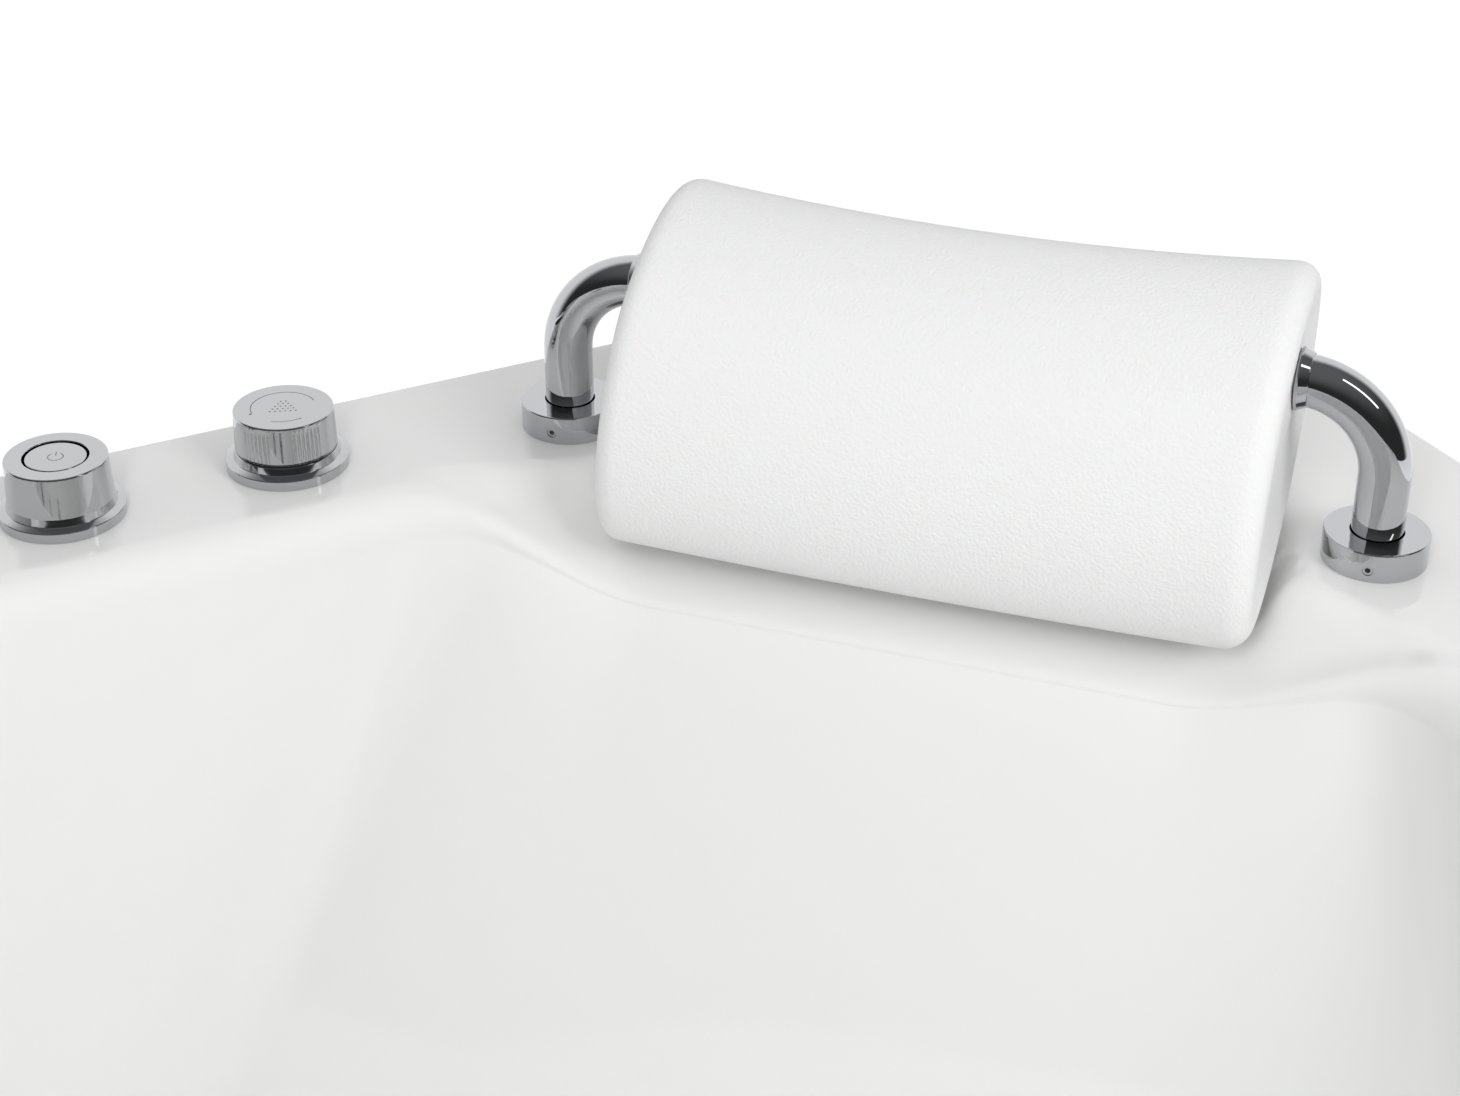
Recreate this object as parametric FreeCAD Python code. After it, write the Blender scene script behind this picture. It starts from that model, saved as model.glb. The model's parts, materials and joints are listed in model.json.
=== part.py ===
import FreeCAD, Part
import math
import os

# Offset corner jetted bath: acrylic shell on a steel frame, with a headrest, a push
# button and an air knob on the deck, six jets, a suction, a waste and a pump.
# Millimetres. Origin on the floor under the middle of the bath, X along the back wall,
# Y towards the back wall, Z up. The wide end is at +X.

Vec = FreeCAD.Vector
UP = Vec(0, 0, 1)

# ---- overall size
BATH_LENGTH = 1600.0
BATH_WIDTH = 1130.0
DECK_Z = 600.0
CORNER_X = BATH_LENGTH / 2
CORNER_Y = BATH_WIDTH / 2

# ---- acrylic shell
SKIN = 6.0
LIP_HEIGHT = 40.0
WALL_CORNER_R = 55.0
FRONT_CORNER_R = 300.0
FOOT_CORNER_R = 60.0
SWEEP_R = 410.0
SWEEP_TURN = 57.0
SWEEP_SIDE = 456.0
BASIN_DEPTH = 430.0
ROLL_R = 22.0
FLOOR_FILLET_R = 50.0
BACK_DECK = 118.0
SIDE_DECK = 145.0

# ---- headrest, set on the diagonal of the back corner
FOOT_LEFT = Vec(CORNER_X - 387.4, CORNER_Y - 79.9, 0)
FOOT_RIGHT = Vec(CORNER_X - 102.3, CORNER_Y - 380.6, 0)
RAIL_OD = 25.0
RAIL_BEND_R = 44.0
RAIL_AXIS_RISE = 87.5
RAIL_WALL = 1.5
ROSE_OD = 50.7
ROSE_HEIGHT = 14.9
ROSE_BORE_GAP = 0.05
RAIL_FOOT_RISE = 2.5
SCREW_RISE = 6.2
GRUB_R = 2.5
PILLOW_LENGTH = 325.0
PILLOW_LONG = 94.0
PILLOW_SHORT = 52.0
PILLOW_FLARE = 3.0
PILLOW_LIFT = 5.0
PILLOW_EDGE_R = 12.8
PILLOW_TILT = -45.3
PILLOW_FORWARD = 11.45
PILLOW_RISE = 47.28
PILLOW_POWER = 1.7
NECK_GAP = 9.0
NECK_HALF = 169.0
EDGE_TO_FEET = 77.0

# ---- deck controls
BUTTON_XY = (CORNER_X - 648.8, CORNER_Y - 55.4)
AIR_XY = (CORNER_X - 533.4, CORNER_Y - 55.4)
CONTROL_HEIGHT = 31.8
CONTROL_TOP_R = 25.2
CONTROL_FLANGE_R = 31.0
BUTTON_R = 15.0
BUTTON_TRAVEL = 3.0
TAIL_R = 17.0
TAIL_LENGTH = 46.0

# ---- water and air
JET_DEPTH = 270.0
JET_FACE_R = 33.0
JET_BALL_R = 19.0
JET_BORE_R = 6.0
WATER_PIPE_R = 20.0
AIR_PIPE_R = 10.0
SUCTION_PIPE_R = 25.0
PIPE_LINE_Y = 480.0
WATER_PIPE_Z = DECK_Z - JET_DEPTH
AIR_PIPE_Z = WATER_PIPE_Z + 55.0
SUCTION_DEPTH = 335.0
SUCTION_X = 35.0
SUCTION_R = 40.0

# ---- pump
PUMP_AXIS = Vec(0, 345, 236)
PUMP_WET_X = 480.0
MOTOR_R = 68.0

# ---- waste
WASTE_XY = (-440.0, 203.0)
WASTE_R = 35.0
OUTLET_R = 20.0
OUTLET_Z = 32.0
OUTLET_END = 120.0
OUTLET_LENGTH = 75.0
OVERFLOW_DEPTH = 95.0
OVERFLOW_R = 34.0

# ---- steel frame
TUBE = 30.0
BOARD_THICK = 18.0
FOOT_PAD_R = 28.0
PANEL_THICK = 4.0
PANEL_INSET = 20.0


def polar(radius, degrees):
    return Vec(radius * math.cos(math.radians(degrees)), radius * math.sin(math.radians(degrees)), 0)


def corner_arcs(corners, radii, z):
    """Start, middle, end and centre of the arc at each corner of a polygon."""
    count = len(corners)
    arcs = []
    for i, corner in enumerate(corners):
        here = Vec(corner[0], corner[1], z)
        before = Vec(*corners[i - 1], z) - here
        after = Vec(*corners[(i + 1) % count], z) - here
        before.normalize()
        after.normalize()
        half_turn = (math.pi - before.getAngle(after)) / 2
        tangent = radii[i] * math.tan(half_turn)
        middle = (before + after).normalize()
        centre = here + middle * (radii[i] / math.cos(half_turn))
        arcs.append((here + before * tangent, centre - middle * radii[i], here + after * tangent, centre))
    return arcs


def rounded_wire(corners, radii, z):
    """Closed wire of one arc a corner and one straight a side."""
    arcs = corner_arcs(corners, radii, z)
    edges = []
    for i, (start, middle, end, _) in enumerate(arcs):
        edges.append(Part.Arc(start, middle, end).toShape())
        edges.append(Part.LineSegment(end, arcs[(i + 1) % len(arcs)][0]).toShape())
    return Part.Wire(edges)


def rounded_ring(corners, radii, z, profile):
    """A profile carried round an outline. profile(base, out) is a face in the upright plane
    through base that holds the outward direction out."""
    arcs = corner_arcs(corners, radii, z)
    pieces = []
    for i, (start, _, end, centre) in enumerate(arcs):
        side = arcs[(i + 1) % len(arcs)][0] - end
        along = Vec(side).normalize()
        out = Vec(-along.y, along.x, 0)
        pieces.append(profile(end, out).extrude(side))
        spoke_a = start - centre
        spoke_b = end - centre
        turn = math.degrees(math.atan2(spoke_a.cross(spoke_b).z, spoke_a.dot(spoke_b)))
        pieces.append(profile(end, out).revolve(centre, UP, -turn))
    return pieces


def offset_corners(corners, grow):
    """Corners of a clockwise polygon whose sides have all moved outwards by grow."""
    count = len(corners)
    lines = []
    for i in range(count):
        p = Vec(*corners[i], 0)
        q = Vec(*corners[(i + 1) % count], 0)
        along = q - p
        along.normalize()
        out = Vec(-along.y, along.x, 0)
        lines.append((p + out * grow, along))
    moved = []
    for i in range(count):
        p, u = lines[i - 1]
        q, v = lines[i]
        cross = u.x * v.y - u.y * v.x
        step = ((q.x - p.x) * v.y - (q.y - p.y) * v.x) / cross
        moved.append(((p + u * step).x, (p + u * step).y))
    return moved


# The sweep of the front side is two equal arcs, so each outline meets it at two corners.
SWEEP_TANGENT = math.tan(math.radians(SWEEP_TURN / 2))
SWEEP_START_X = CORNER_X - FRONT_CORNER_R - 150.0
SWEEP_CORNER_A = (SWEEP_START_X - SWEEP_R * SWEEP_TANGENT, -CORNER_Y)
SWEEP_CORNER_B = (SWEEP_CORNER_A[0] - SWEEP_SIDE * math.cos(math.radians(SWEEP_TURN)),
                  SWEEP_CORNER_A[1] + SWEEP_SIDE * math.sin(math.radians(SWEEP_TURN)))
NARROW_Y = SWEEP_CORNER_B[1]

DECK_CORNERS = [(CORNER_X, CORNER_Y), (CORNER_X, -CORNER_Y), SWEEP_CORNER_A, SWEEP_CORNER_B,
                (-CORNER_X, NARROW_Y), (-CORNER_X, CORNER_Y)]
DECK_RADII = [WALL_CORNER_R, FRONT_CORNER_R, SWEEP_R, SWEEP_R, FOOT_CORNER_R, WALL_CORNER_R]
CONCAVE = 3


def deck_wire(grow, z):
    radii = [r + grow for r in DECK_RADII]
    radii[CONCAVE] = DECK_RADII[CONCAVE] - grow
    return rounded_wire(offset_corners(DECK_CORNERS, grow), radii, z)


# Headrest axes: ALONG runs from the left foot to the right one, FORWARD to the basin.
HEAD_MID = (FOOT_LEFT + FOOT_RIGHT) * 0.5
ALONG = FOOT_RIGHT - FOOT_LEFT
HALF_SPAN = ALONG.Length / 2
ALONG.normalize()
FORWARD = Vec(ALONG.y, -ALONG.x, 0)


def head_point(along, forward, z=0.0):
    return HEAD_MID + ALONG * along + FORWARD * forward + UP * z


def diagonal_cut(forward, back_y, side_x):
    """The two corners where the headrest diagonal meets the back side and the wide end."""
    base = head_point(0, forward)
    to_back = (back_y - base.y) / ALONG.y
    to_side = (side_x - base.x) / ALONG.x
    return (base + ALONG * to_back), (base + ALONG * to_side)


RIM_BACK, RIM_SIDE = diagonal_cut(EDGE_TO_FEET, CORNER_Y - BACK_DECK, CORNER_X - SIDE_DECK)
FLOOR_BACK, FLOOR_SIDE = diagonal_cut(320.0, 385.0, 590.0)
SHIFT = SIDE_DECK * SWEEP_TANGENT
RIM_CORNERS = [(RIM_BACK.x, RIM_BACK.y), (RIM_SIDE.x, RIM_SIDE.y),
               (CORNER_X - SIDE_DECK, SIDE_DECK - CORNER_Y),
               (SWEEP_CORNER_A[0] + SHIFT, SIDE_DECK - CORNER_Y),
               (SWEEP_CORNER_B[0] + SHIFT, NARROW_Y + SIDE_DECK),
               (BACK_DECK - CORNER_X, NARROW_Y + SIDE_DECK),
               (BACK_DECK - CORNER_X, CORNER_Y - BACK_DECK)]
BASIN_RADII = [70.0, 70.0, 155.0, SWEEP_R - SIDE_DECK, SWEEP_R + SIDE_DECK, 130.0, 130.0]
FLOOR_START = (168.0, -355.0)
FLOOR_NARROW_Y = 25.0
FLOOR_BULGE_X = FLOOR_START[0] - (FLOOR_NARROW_Y - FLOOR_START[1]) / math.tan(math.radians(SWEEP_TURN))
FLOOR_CORNERS = [(FLOOR_BACK.x, FLOOR_BACK.y), (FLOOR_SIDE.x, FLOOR_SIDE.y), (590.0, -355.0), FLOOR_START,
                 (FLOOR_BULGE_X, FLOOR_NARROW_Y), (-560.0, FLOOR_NARROW_Y), (-560.0, 385.0)]
BASIN_CONCAVE = 4


def basin_section(depth, grow):
    """Corners and radii of the leaning basin wall at a depth under the deck, moved out by grow."""
    share = depth / BASIN_DEPTH
    corners = []
    for rim, floor in zip(RIM_CORNERS, FLOOR_CORNERS):
        corners.append((rim[0] + (floor[0] - rim[0]) * share, rim[1] + (floor[1] - rim[1]) * share))
    radii = [radius + grow for radius in BASIN_RADII]
    radii[BASIN_CONCAVE] -= 2 * grow
    return offset_corners(corners, grow), radii


def basin_wire(depth, grow, z):
    return rounded_wire(*basin_section(depth, grow), z)


def basin_core(grow, top, foot):
    """Solid that fills the basin between two depths, its sides moved out by grow. Each side is flat
    and each corner is its arc drawn down the slope."""
    upper = corner_arcs(*basin_section(top, grow), DECK_Z - top)
    lower = corner_arcs(*basin_section(foot, grow), DECK_Z - foot)
    faces = []
    for i, (start, middle, end, centre) in enumerate(upper):
        following = (i + 1) % len(upper)
        slope = lower[i][3] - centre
        faces.append(Part.Arc(start, middle, end).toShape().extrude(slope))
        side = [end, upper[following][0], lower[following][0], end + slope, end]
        faces.append(Part.Face(Part.makePolygon(side)))
    for depth in (top, foot):
        faces.append(Part.Face(basin_wire(depth, grow, DECK_Z - depth)))
    skin = Part.makeShell(faces)
    skin.sewShape()
    core = Part.makeSolid(skin)
    return core if core.Volume > 0 else core.reversed()


def bend_profile(off, drop, inner_r, outer_r, first):
    """Quarter of a ring, its centre off from the outline and drop below it, from the angle
    first to first + 90 degrees. Angle 0 is outwards, 90 is up."""
    def profile(base, out):
        centre = base + out * off - UP * drop

        def at(radius, angle):
            a = math.radians(angle)
            return centre + out * (radius * math.cos(a)) + UP * (radius * math.sin(a))
        edges = [Part.Arc(at(outer_r, first), at(outer_r, first + 45), at(outer_r, first + 90)).toShape(),
                 Part.LineSegment(at(outer_r, first + 90), at(inner_r, first + 90)).toShape(),
                 Part.Arc(at(inner_r, first + 90), at(inner_r, first + 45), at(inner_r, first)).toShape(),
                 Part.LineSegment(at(inner_r, first), at(outer_r, first)).toShape()]
        return Part.Face(Part.Wire(edges))
    return profile


def ellipse_face(long_r, short_r, along):
    """Ellipse across the headrest axis, tilted as the pillow is."""
    centre = head_point(along, PILLOW_FORWARD, DECK_Z + PILLOW_RISE)
    tilt = math.radians(PILLOW_TILT)
    major = FORWARD * math.cos(tilt) + UP * math.sin(tilt)
    ellipse = Part.Ellipse(centre + major * long_r, centre + major.cross(ALONG) * short_r, centre)
    return Part.Face(Part.Wire(ellipse.toShape()))


def neck_hollow(skin):
    """Trough in the deck edge that the lower side of the pillow hangs in."""
    grow = PILLOW_FLARE + NECK_GAP + skin
    half = NECK_HALF + skin
    face = ellipse_face(PILLOW_LONG + grow, PILLOW_SHORT + grow, -half)
    return face.extrude(ALONG * (2 * half))


def cylinder(radius, length, base, axis=UP):
    return Part.makeCylinder(radius, length, base, axis)


def revolved(profile, base, axis=UP):
    """Solid turned from (radius, height) points about an axis through base."""
    points = [Vec(r, 0, h) for r, h in profile]
    points.append(points[0])
    solid = Part.Face(Part.makePolygon(points)).revolve(Vec(0, 0, 0), UP, 360)
    solid.Placement = FreeCAD.Placement(base, FreeCAD.Rotation(UP, axis))
    return solid


def tube_run(points, bends, radius):
    """Round bar along straight runs joined by bends. Returns the runs and the bends."""
    count = len(points)
    legs = [(points[i + 1] - points[i]).normalize() for i in range(count - 1)]
    trims = [0.0]
    for i in range(1, count - 1):
        turn = legs[i - 1].getAngle(legs[i])
        trims.append(bends[i - 1] * math.tan(turn / 2))
    trims.append(0.0)
    runs, elbows = [], []
    for i in range(count - 1):
        start = points[i] + legs[i] * trims[i]
        length = (points[i + 1] - points[i]).Length - trims[i] - trims[i + 1]
        runs.append(cylinder(radius, length, start, legs[i]))
    for i in range(1, count - 1):
        start = points[i] - legs[i - 1] * trims[i]
        normal = legs[i - 1].cross(legs[i])
        inward = normal.cross(legs[i - 1]).normalize()
        centre = start + inward * bends[i - 1]
        turn = math.degrees(legs[i - 1].getAngle(legs[i]))
        disc = Part.Face(Part.Wire(Part.makeCircle(radius, start, legs[i - 1])))
        elbows.append(disc.revolve(centre, normal, turn))
    return runs, elbows


def joined(shapes):
    """One solid from shapes that touch or overlap."""
    whole = shapes[0]
    if len(shapes) > 1:
        whole = whole.multiFuse(shapes[1:])
    return whole.removeSplitter()


def group(shapes):
    """Separate solids that share one node."""
    return Part.makeCompound(shapes)


def box(low, high):
    return Part.makeBox(high.x - low.x, high.y - low.y, high.z - low.z, low)


parts = {}

# ---------------------------------------------------------------- places on the basin wall


def wall_point(side, reach, depth):
    """Point on a straight wall: reach runs along the side from its middle at that depth.
    Also returns the wall's normal, out of the bath."""
    def on_side(at_depth):
        corners, _ = basin_section(at_depth, 0.0)
        p = Vec(*corners[side], DECK_Z - at_depth)
        q = Vec(*corners[(side + 1) % len(corners)], DECK_Z - at_depth)
        along = (q - p).normalize()
        return p, q, along
    p, q, along = on_side(depth)
    lower, _, _ = on_side(depth + 10.0)
    down = lower - p
    out = down.cross(along).normalize()
    if out.dot(Vec(-along.y, along.x, 0)) < 0:
        out = out * -1
    return p, along, out


def back_wall(x, depth):
    """Point and outward normal on the long wall at the back."""
    p, along, out = wall_point(6, 0, depth)
    return p + along * ((x - p.x) / along.x), out


def narrow_wall(x, depth):
    """Point and outward normal on the straight front wall of the narrow end."""
    p, along, out = wall_point(4, 0, depth)
    return p + along * ((x - p.x) / along.x), out


def foot_wall(y, depth):
    """Point and outward normal on the wall of the narrow end."""
    p, along, out = wall_point(5, 0, depth)
    return p + along * ((y - p.y) / along.y), out


def sweep_wall(degrees, depth):
    """Point and outward normal on the front wall where it bulges into the basin."""
    def at(d):
        corners, radii = basin_section(d, 0.0)
        radius = radii[BASIN_CONCAVE]
        corner = corners[BASIN_CONCAVE]
        centre = Vec(corner[0] - radius * SWEEP_TANGENT, corner[1] - radius, DECK_Z - d)
        return centre + polar(radius, degrees)
    point = at(depth)
    down = at(depth + 10.0) - point
    level = Vec(math.sin(math.radians(degrees)), -math.cos(math.radians(degrees)), 0)
    out = down.cross(level).normalize()
    if out.dot(polar(1, degrees)) > 0:
        out = out * -1
    return point, out


JETS = [back_wall(-420.0, JET_DEPTH), back_wall(-270.0, JET_DEPTH), back_wall(-120.0, JET_DEPTH),
        narrow_wall(-425.0, JET_DEPTH), sweep_wall(74.0, JET_DEPTH), sweep_wall(56.0, JET_DEPTH)]
SUCTION_POINT, SUCTION_OUT = back_wall(SUCTION_X, SUCTION_DEPTH)
OVERFLOW_POINT, OVERFLOW_OUT = foot_wall(203.0, OVERFLOW_DEPTH)
FLOOR_Z = DECK_Z - BASIN_DEPTH
STUD_R = 5.0
HOLE_GAP = 1.0

# ---------------------------------------------------------------- shell


def make_shell():
    """Formed sheet: deck with its lip, rolled rim, leaning walls, filleted floor, and the
    trough under the pillow."""
    wall_foot = BASIN_DEPTH - FLOOR_FILLET_R
    rim_line = basin_section(ROLL_R, 0.0)
    foot_line = basin_section(wall_foot, 0.0)
    deck = Part.Face(deck_wire(0, DECK_Z)).cut(Part.Face(basin_wire(ROLL_R, ROLL_R, DECK_Z)))
    lip = Part.Face(deck_wire(0, DECK_Z - SKIN)).cut(Part.Face(deck_wire(-SKIN, DECK_Z - SKIN)))
    sheets = [deck.extrude(UP * -SKIN), lip.extrude(UP * (SKIN - LIP_HEIGHT))]
    sheets += rounded_ring(*rim_line, DECK_Z, bend_profile(ROLL_R, ROLL_R, ROLL_R - SKIN, ROLL_R, 90))
    hollow = basin_core(0.0, ROLL_R, wall_foot)
    sheets.append(basin_core(SKIN, ROLL_R, wall_foot).cut(hollow))
    sheets += rounded_ring(*foot_line, DECK_Z, bend_profile(-FLOOR_FILLET_R, wall_foot, FLOOR_FILLET_R,
                                                            FLOOR_FILLET_R + SKIN, -90))
    floor = Part.Face(basin_wire(wall_foot, -FLOOR_FILLET_R, FLOOR_Z))
    sheets.append(floor.extrude(UP * -SKIN))
    body = joined(sheets)
    below_deck = box(Vec(300, -100, DECK_Z - 90), Vec(780, 545, DECK_Z - 1.0))
    cavity = Part.makeLoft([basin_wire(ROLL_R, ROLL_R, DECK_Z), basin_wire(ROLL_R, ROLL_R, DECK_Z - 1),
                            basin_wire(ROLL_R, 0.0, DECK_Z - ROLL_R)], True, True)
    trough = neck_hollow(SKIN).common(below_deck).cut(hollow).cut(cavity)
    body = body.fuse(trough).cut(neck_hollow(0.0))
    for tool in shell_holes():
        body = body.cut(tool)
    return body.removeSplitter()


def shell_holes():
    holes = []
    for xy in (BUTTON_XY, AIR_XY):
        holes.append(cylinder(TAIL_R + HOLE_GAP, 20, Vec(*xy, DECK_Z - 15)))
    for foot in (FOOT_LEFT, FOOT_RIGHT):
        holes.append(cylinder(STUD_R + HOLE_GAP, 20, foot + UP * (DECK_Z - 15)))
    for point, out in JETS:
        holes.append(cylinder(JET_BALL_R + 6.0, 60, point - out * 30, out))
    holes.append(cylinder(SUCTION_R - 9.0, 60, SUCTION_POINT - SUCTION_OUT * 30, SUCTION_OUT))
    holes.append(cylinder(OVERFLOW_R - 9.0, 40, OVERFLOW_POINT - OVERFLOW_OUT * 20, OVERFLOW_OUT))
    holes.append(cylinder(WASTE_R - 9.0, 40, Vec(*WASTE_XY, FLOOR_Z - 20)))
    return holes


parts["tub_shell"] = make_shell()

# ---------------------------------------------------------------- board, frame and panels

BOARD_TOP = FLOOR_Z - SKIN
RAIL_TOP = BOARD_TOP - BOARD_THICK
RAIL_FOOT = RAIL_TOP - TUBE
BACK_RAIL_Y = 505.0
FRONT_RAIL_Y = -118.0
UPRIGHTS = [(-740.0, BACK_RAIL_Y), (740.0, BACK_RAIL_Y), (735.0, -290.0), (420.0, -490.0),
            (-365.0, FRONT_RAIL_Y), (-740.0, FRONT_RAIL_Y)]
FEET = UPRIGHTS + [(120.0, -325.0), (120.0, BACK_RAIL_Y)]


def square_tube(start, end):
    """Square steel tube between two points, on level or upright lines."""
    along = end - start
    half = TUBE / 2
    bore = half - 2.0
    if abs(along.z) > 1:
        outer = box(start - Vec(half, half, 0), end + Vec(half, half, 0))
        inner = box(start - Vec(bore, bore, 0), end + Vec(bore, bore, 0))
    elif abs(along.x) > abs(along.y):
        outer = box(start - Vec(0, half, half), end + Vec(0, half, half))
        inner = box(start - Vec(0, bore, bore), end + Vec(0, bore, bore))
    else:
        outer = box(start - Vec(half, 0, half), end + Vec(half, 0, half))
        inner = box(start - Vec(bore, 0, bore), end + Vec(bore, 0, bore))
    return outer.cut(inner)


def make_frame():
    z = RAIL_TOP - TUBE / 2
    half = TUBE / 2
    rails = [((-755, BACK_RAIL_Y), (755, BACK_RAIL_Y)),
             ((-755, FRONT_RAIL_Y), (-350, FRONT_RAIL_Y)),
             ((735, -305), (735, BACK_RAIL_Y - half)),
             ((-600, FRONT_RAIL_Y + half), (-600, BACK_RAIL_Y - half)),
             ((-365, FRONT_RAIL_Y + half), (-365, BACK_RAIL_Y - half)),
             ((120, -340), (120, BACK_RAIL_Y - half)),
             ((420, -505), (420, BACK_RAIL_Y - half)),
             ((435, 230), (720, 230))]
    rails += [((x, 245), (x, BACK_RAIL_Y - half)) for x in (575, 690)]
    tubes = [square_tube(Vec(*p, z), Vec(*q, z)) for p, q in rails]
    uprights = [square_tube(Vec(*xy, RAIL_TOP), Vec(*xy, DECK_Z - SKIN)) for xy in UPRIGHTS]
    return group(tubes + uprights)


parts["support_frame"] = make_frame()

board = Part.Face(basin_wire(BASIN_DEPTH - FLOOR_FILLET_R, -FLOOR_FILLET_R - 10.0, RAIL_TOP))
board = board.extrude(UP * BOARD_THICK)
parts["base_board"] = board.cut(cylinder(WASTE_R, 40, Vec(*WASTE_XY, RAIL_TOP - 10)))

FOOT_PROFILE = [(0, 0), (FOOT_PAD_R, 0), (FOOT_PAD_R, 5), (10, 12), (6, 12), (6, RAIL_FOOT), (0, RAIL_FOOT)]
parts["levelling_feet"] = group([revolved(FOOT_PROFILE, Vec(*xy, 0)) for xy in FEET])


def hex_nut(across, height, bore, base, axis=UP):
    corners = [polar(across / math.sqrt(3), 60 * k) for k in range(7)]
    nut = Part.Face(Part.makePolygon(corners)).extrude(UP * height)
    nut = nut.cut(cylinder(bore, height, Vec(0, 0, 0)))
    nut.Placement = FreeCAD.Placement(base, FreeCAD.Rotation(UP, axis))
    return nut


parts["foot_lock_nuts"] = group([hex_nut(19, 10, 6, Vec(*xy, RAIL_FOOT - 10)) for xy in FEET])


def panel_profile(base, out):
    """Panel with its top and bottom edges turned in."""
    low, high, turn = 12.0, 588.0, 18.0
    inner = base - out * PANEL_THICK
    back = base - out * turn
    points = [base + UP * low, base + UP * high, back + UP * high, back + UP * (high - PANEL_THICK),
              inner + UP * (high - PANEL_THICK), inner + UP * (low + PANEL_THICK),
              back + UP * (low + PANEL_THICK), back + UP * low, base + UP * low]
    return Part.Face(Part.makePolygon(points))


panel_radii = [r - PANEL_INSET for r in DECK_RADII]
panel_radii[CONCAVE] = DECK_RADII[CONCAVE] + PANEL_INSET
panel_pieces = rounded_ring(offset_corners(DECK_CORNERS, -PANEL_INSET), panel_radii, 0, panel_profile)
parts["front_apron"] = joined([panel_pieces[3], panel_pieces[2], panel_pieces[5], panel_pieces[4],
                               panel_pieces[7], panel_pieces[6], panel_pieces[9]])
parts["end_panel"] = panel_pieces[8]

PANEL_FACE_Y = NARROW_Y + PANEL_INSET + PANEL_THICK
clips = []
for z in (180.0, 540.0):
    clips.append(box(Vec(750, -305, z), Vec(773, -275, z + 3)))
    clips.append(box(Vec(405, -565 + PANEL_INSET + PANEL_THICK, z), Vec(435, -505, z + 3)))
    clips.append(box(Vec(-380, PANEL_FACE_Y, z), Vec(-350, FRONT_RAIL_Y - 15, z + 3)))
    clips.append(box(Vec(-740, PANEL_FACE_Y, z), Vec(-725, FRONT_RAIL_Y - 15, z + 3)))
    clips.append(box(Vec(-776, 490, z), Vec(-755, 520, z + 3)))
parts["panel_clips"] = group(clips)

# ---------------------------------------------------------------- headrest


def superellipse_wire(along, inset, share):
    """Pillow section across its length, through arcs. share is 0 at mid length, 1 at an end."""
    long_r = PILLOW_LONG + PILLOW_FLARE * share - inset
    short_r = PILLOW_SHORT + PILLOW_FLARE * share - inset
    centre = head_point(along, PILLOW_FORWARD - 1.3 * share, DECK_Z + PILLOW_RISE + PILLOW_LIFT * share)
    tilt = math.radians(PILLOW_TILT)
    major = FORWARD * math.cos(tilt) + UP * math.sin(tilt)
    minor = UP * math.cos(tilt) - FORWARD * math.sin(tilt)

    def at(angle):
        c = math.cos(math.radians(angle))
        s = math.sin(math.radians(angle))
        u = long_r * math.copysign(abs(c) ** (2 / PILLOW_POWER), c)
        w = short_r * math.copysign(abs(s) ** (2 / PILLOW_POWER), s)
        return centre + major * u + minor * w
    marks = [0, 16, 45, 70, 90, 110, 135, 164, 180, 196, 225, 250, 270, 290, 315, 344, 360]
    edges = []
    for k in range(0, 16, 2):
        edges.append(Part.Arc(at(marks[k]), at(marks[k + 1]), at(marks[k + 2])).toShape())
    return Part.Wire(edges)


def make_pillow():
    half = PILLOW_LENGTH / 2
    stations = []
    for angle in (90, 60, 30, 0):
        a = math.radians(angle)
        stations.append((half - PILLOW_EDGE_R * (1 - math.sin(a)), PILLOW_EDGE_R * (1 - math.cos(a))))
    rows = [(-x, inset) for x, inset in stations]
    rows += [(x, 0.0) for x in (-112.0, -75.0, -37.0, 37.0, 75.0, 112.0)]
    rows += [(x, inset) for x, inset in reversed(stations)]
    wires = [superellipse_wire(x, inset, (x / half) ** 2) for x, inset in rows]
    pillow = Part.makeLoft(wires, True, True)
    bore = cylinder(RAIL_OD / 2, 2 * half + 20, head_point(-half - 10, 0, DECK_Z + RAIL_AXIS_RISE), ALONG)
    return pillow.cut(bore)


parts["headrest_pillow"] = make_pillow()


def make_rail():
    leg_foot = DECK_Z + RAIL_FOOT_RISE
    top = DECK_Z + RAIL_AXIS_RISE
    route = [head_point(-HALF_SPAN, 0, leg_foot), head_point(-HALF_SPAN, 0, top),
             head_point(HALF_SPAN, 0, top), head_point(HALF_SPAN, 0, leg_foot)]
    runs, bends = tube_run(route, [RAIL_BEND_R] * 2, RAIL_OD / 2)
    outer = runs + bends
    runs, bends = tube_run(route, [RAIL_BEND_R] * 2, RAIL_OD / 2 - RAIL_WALL)
    inner = runs + bends
    inserts = []
    for foot in (FOOT_LEFT, FOOT_RIGHT):
        inserts.append(cylinder(RAIL_OD / 2 - RAIL_WALL, 20, foot + UP * leg_foot).cut(
            cylinder(STUD_R, 20, foot + UP * leg_foot)))
    return joined(outer).cut(joined(inner)).fuse(inserts)


parts["headrest_rail"] = make_rail()

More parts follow.
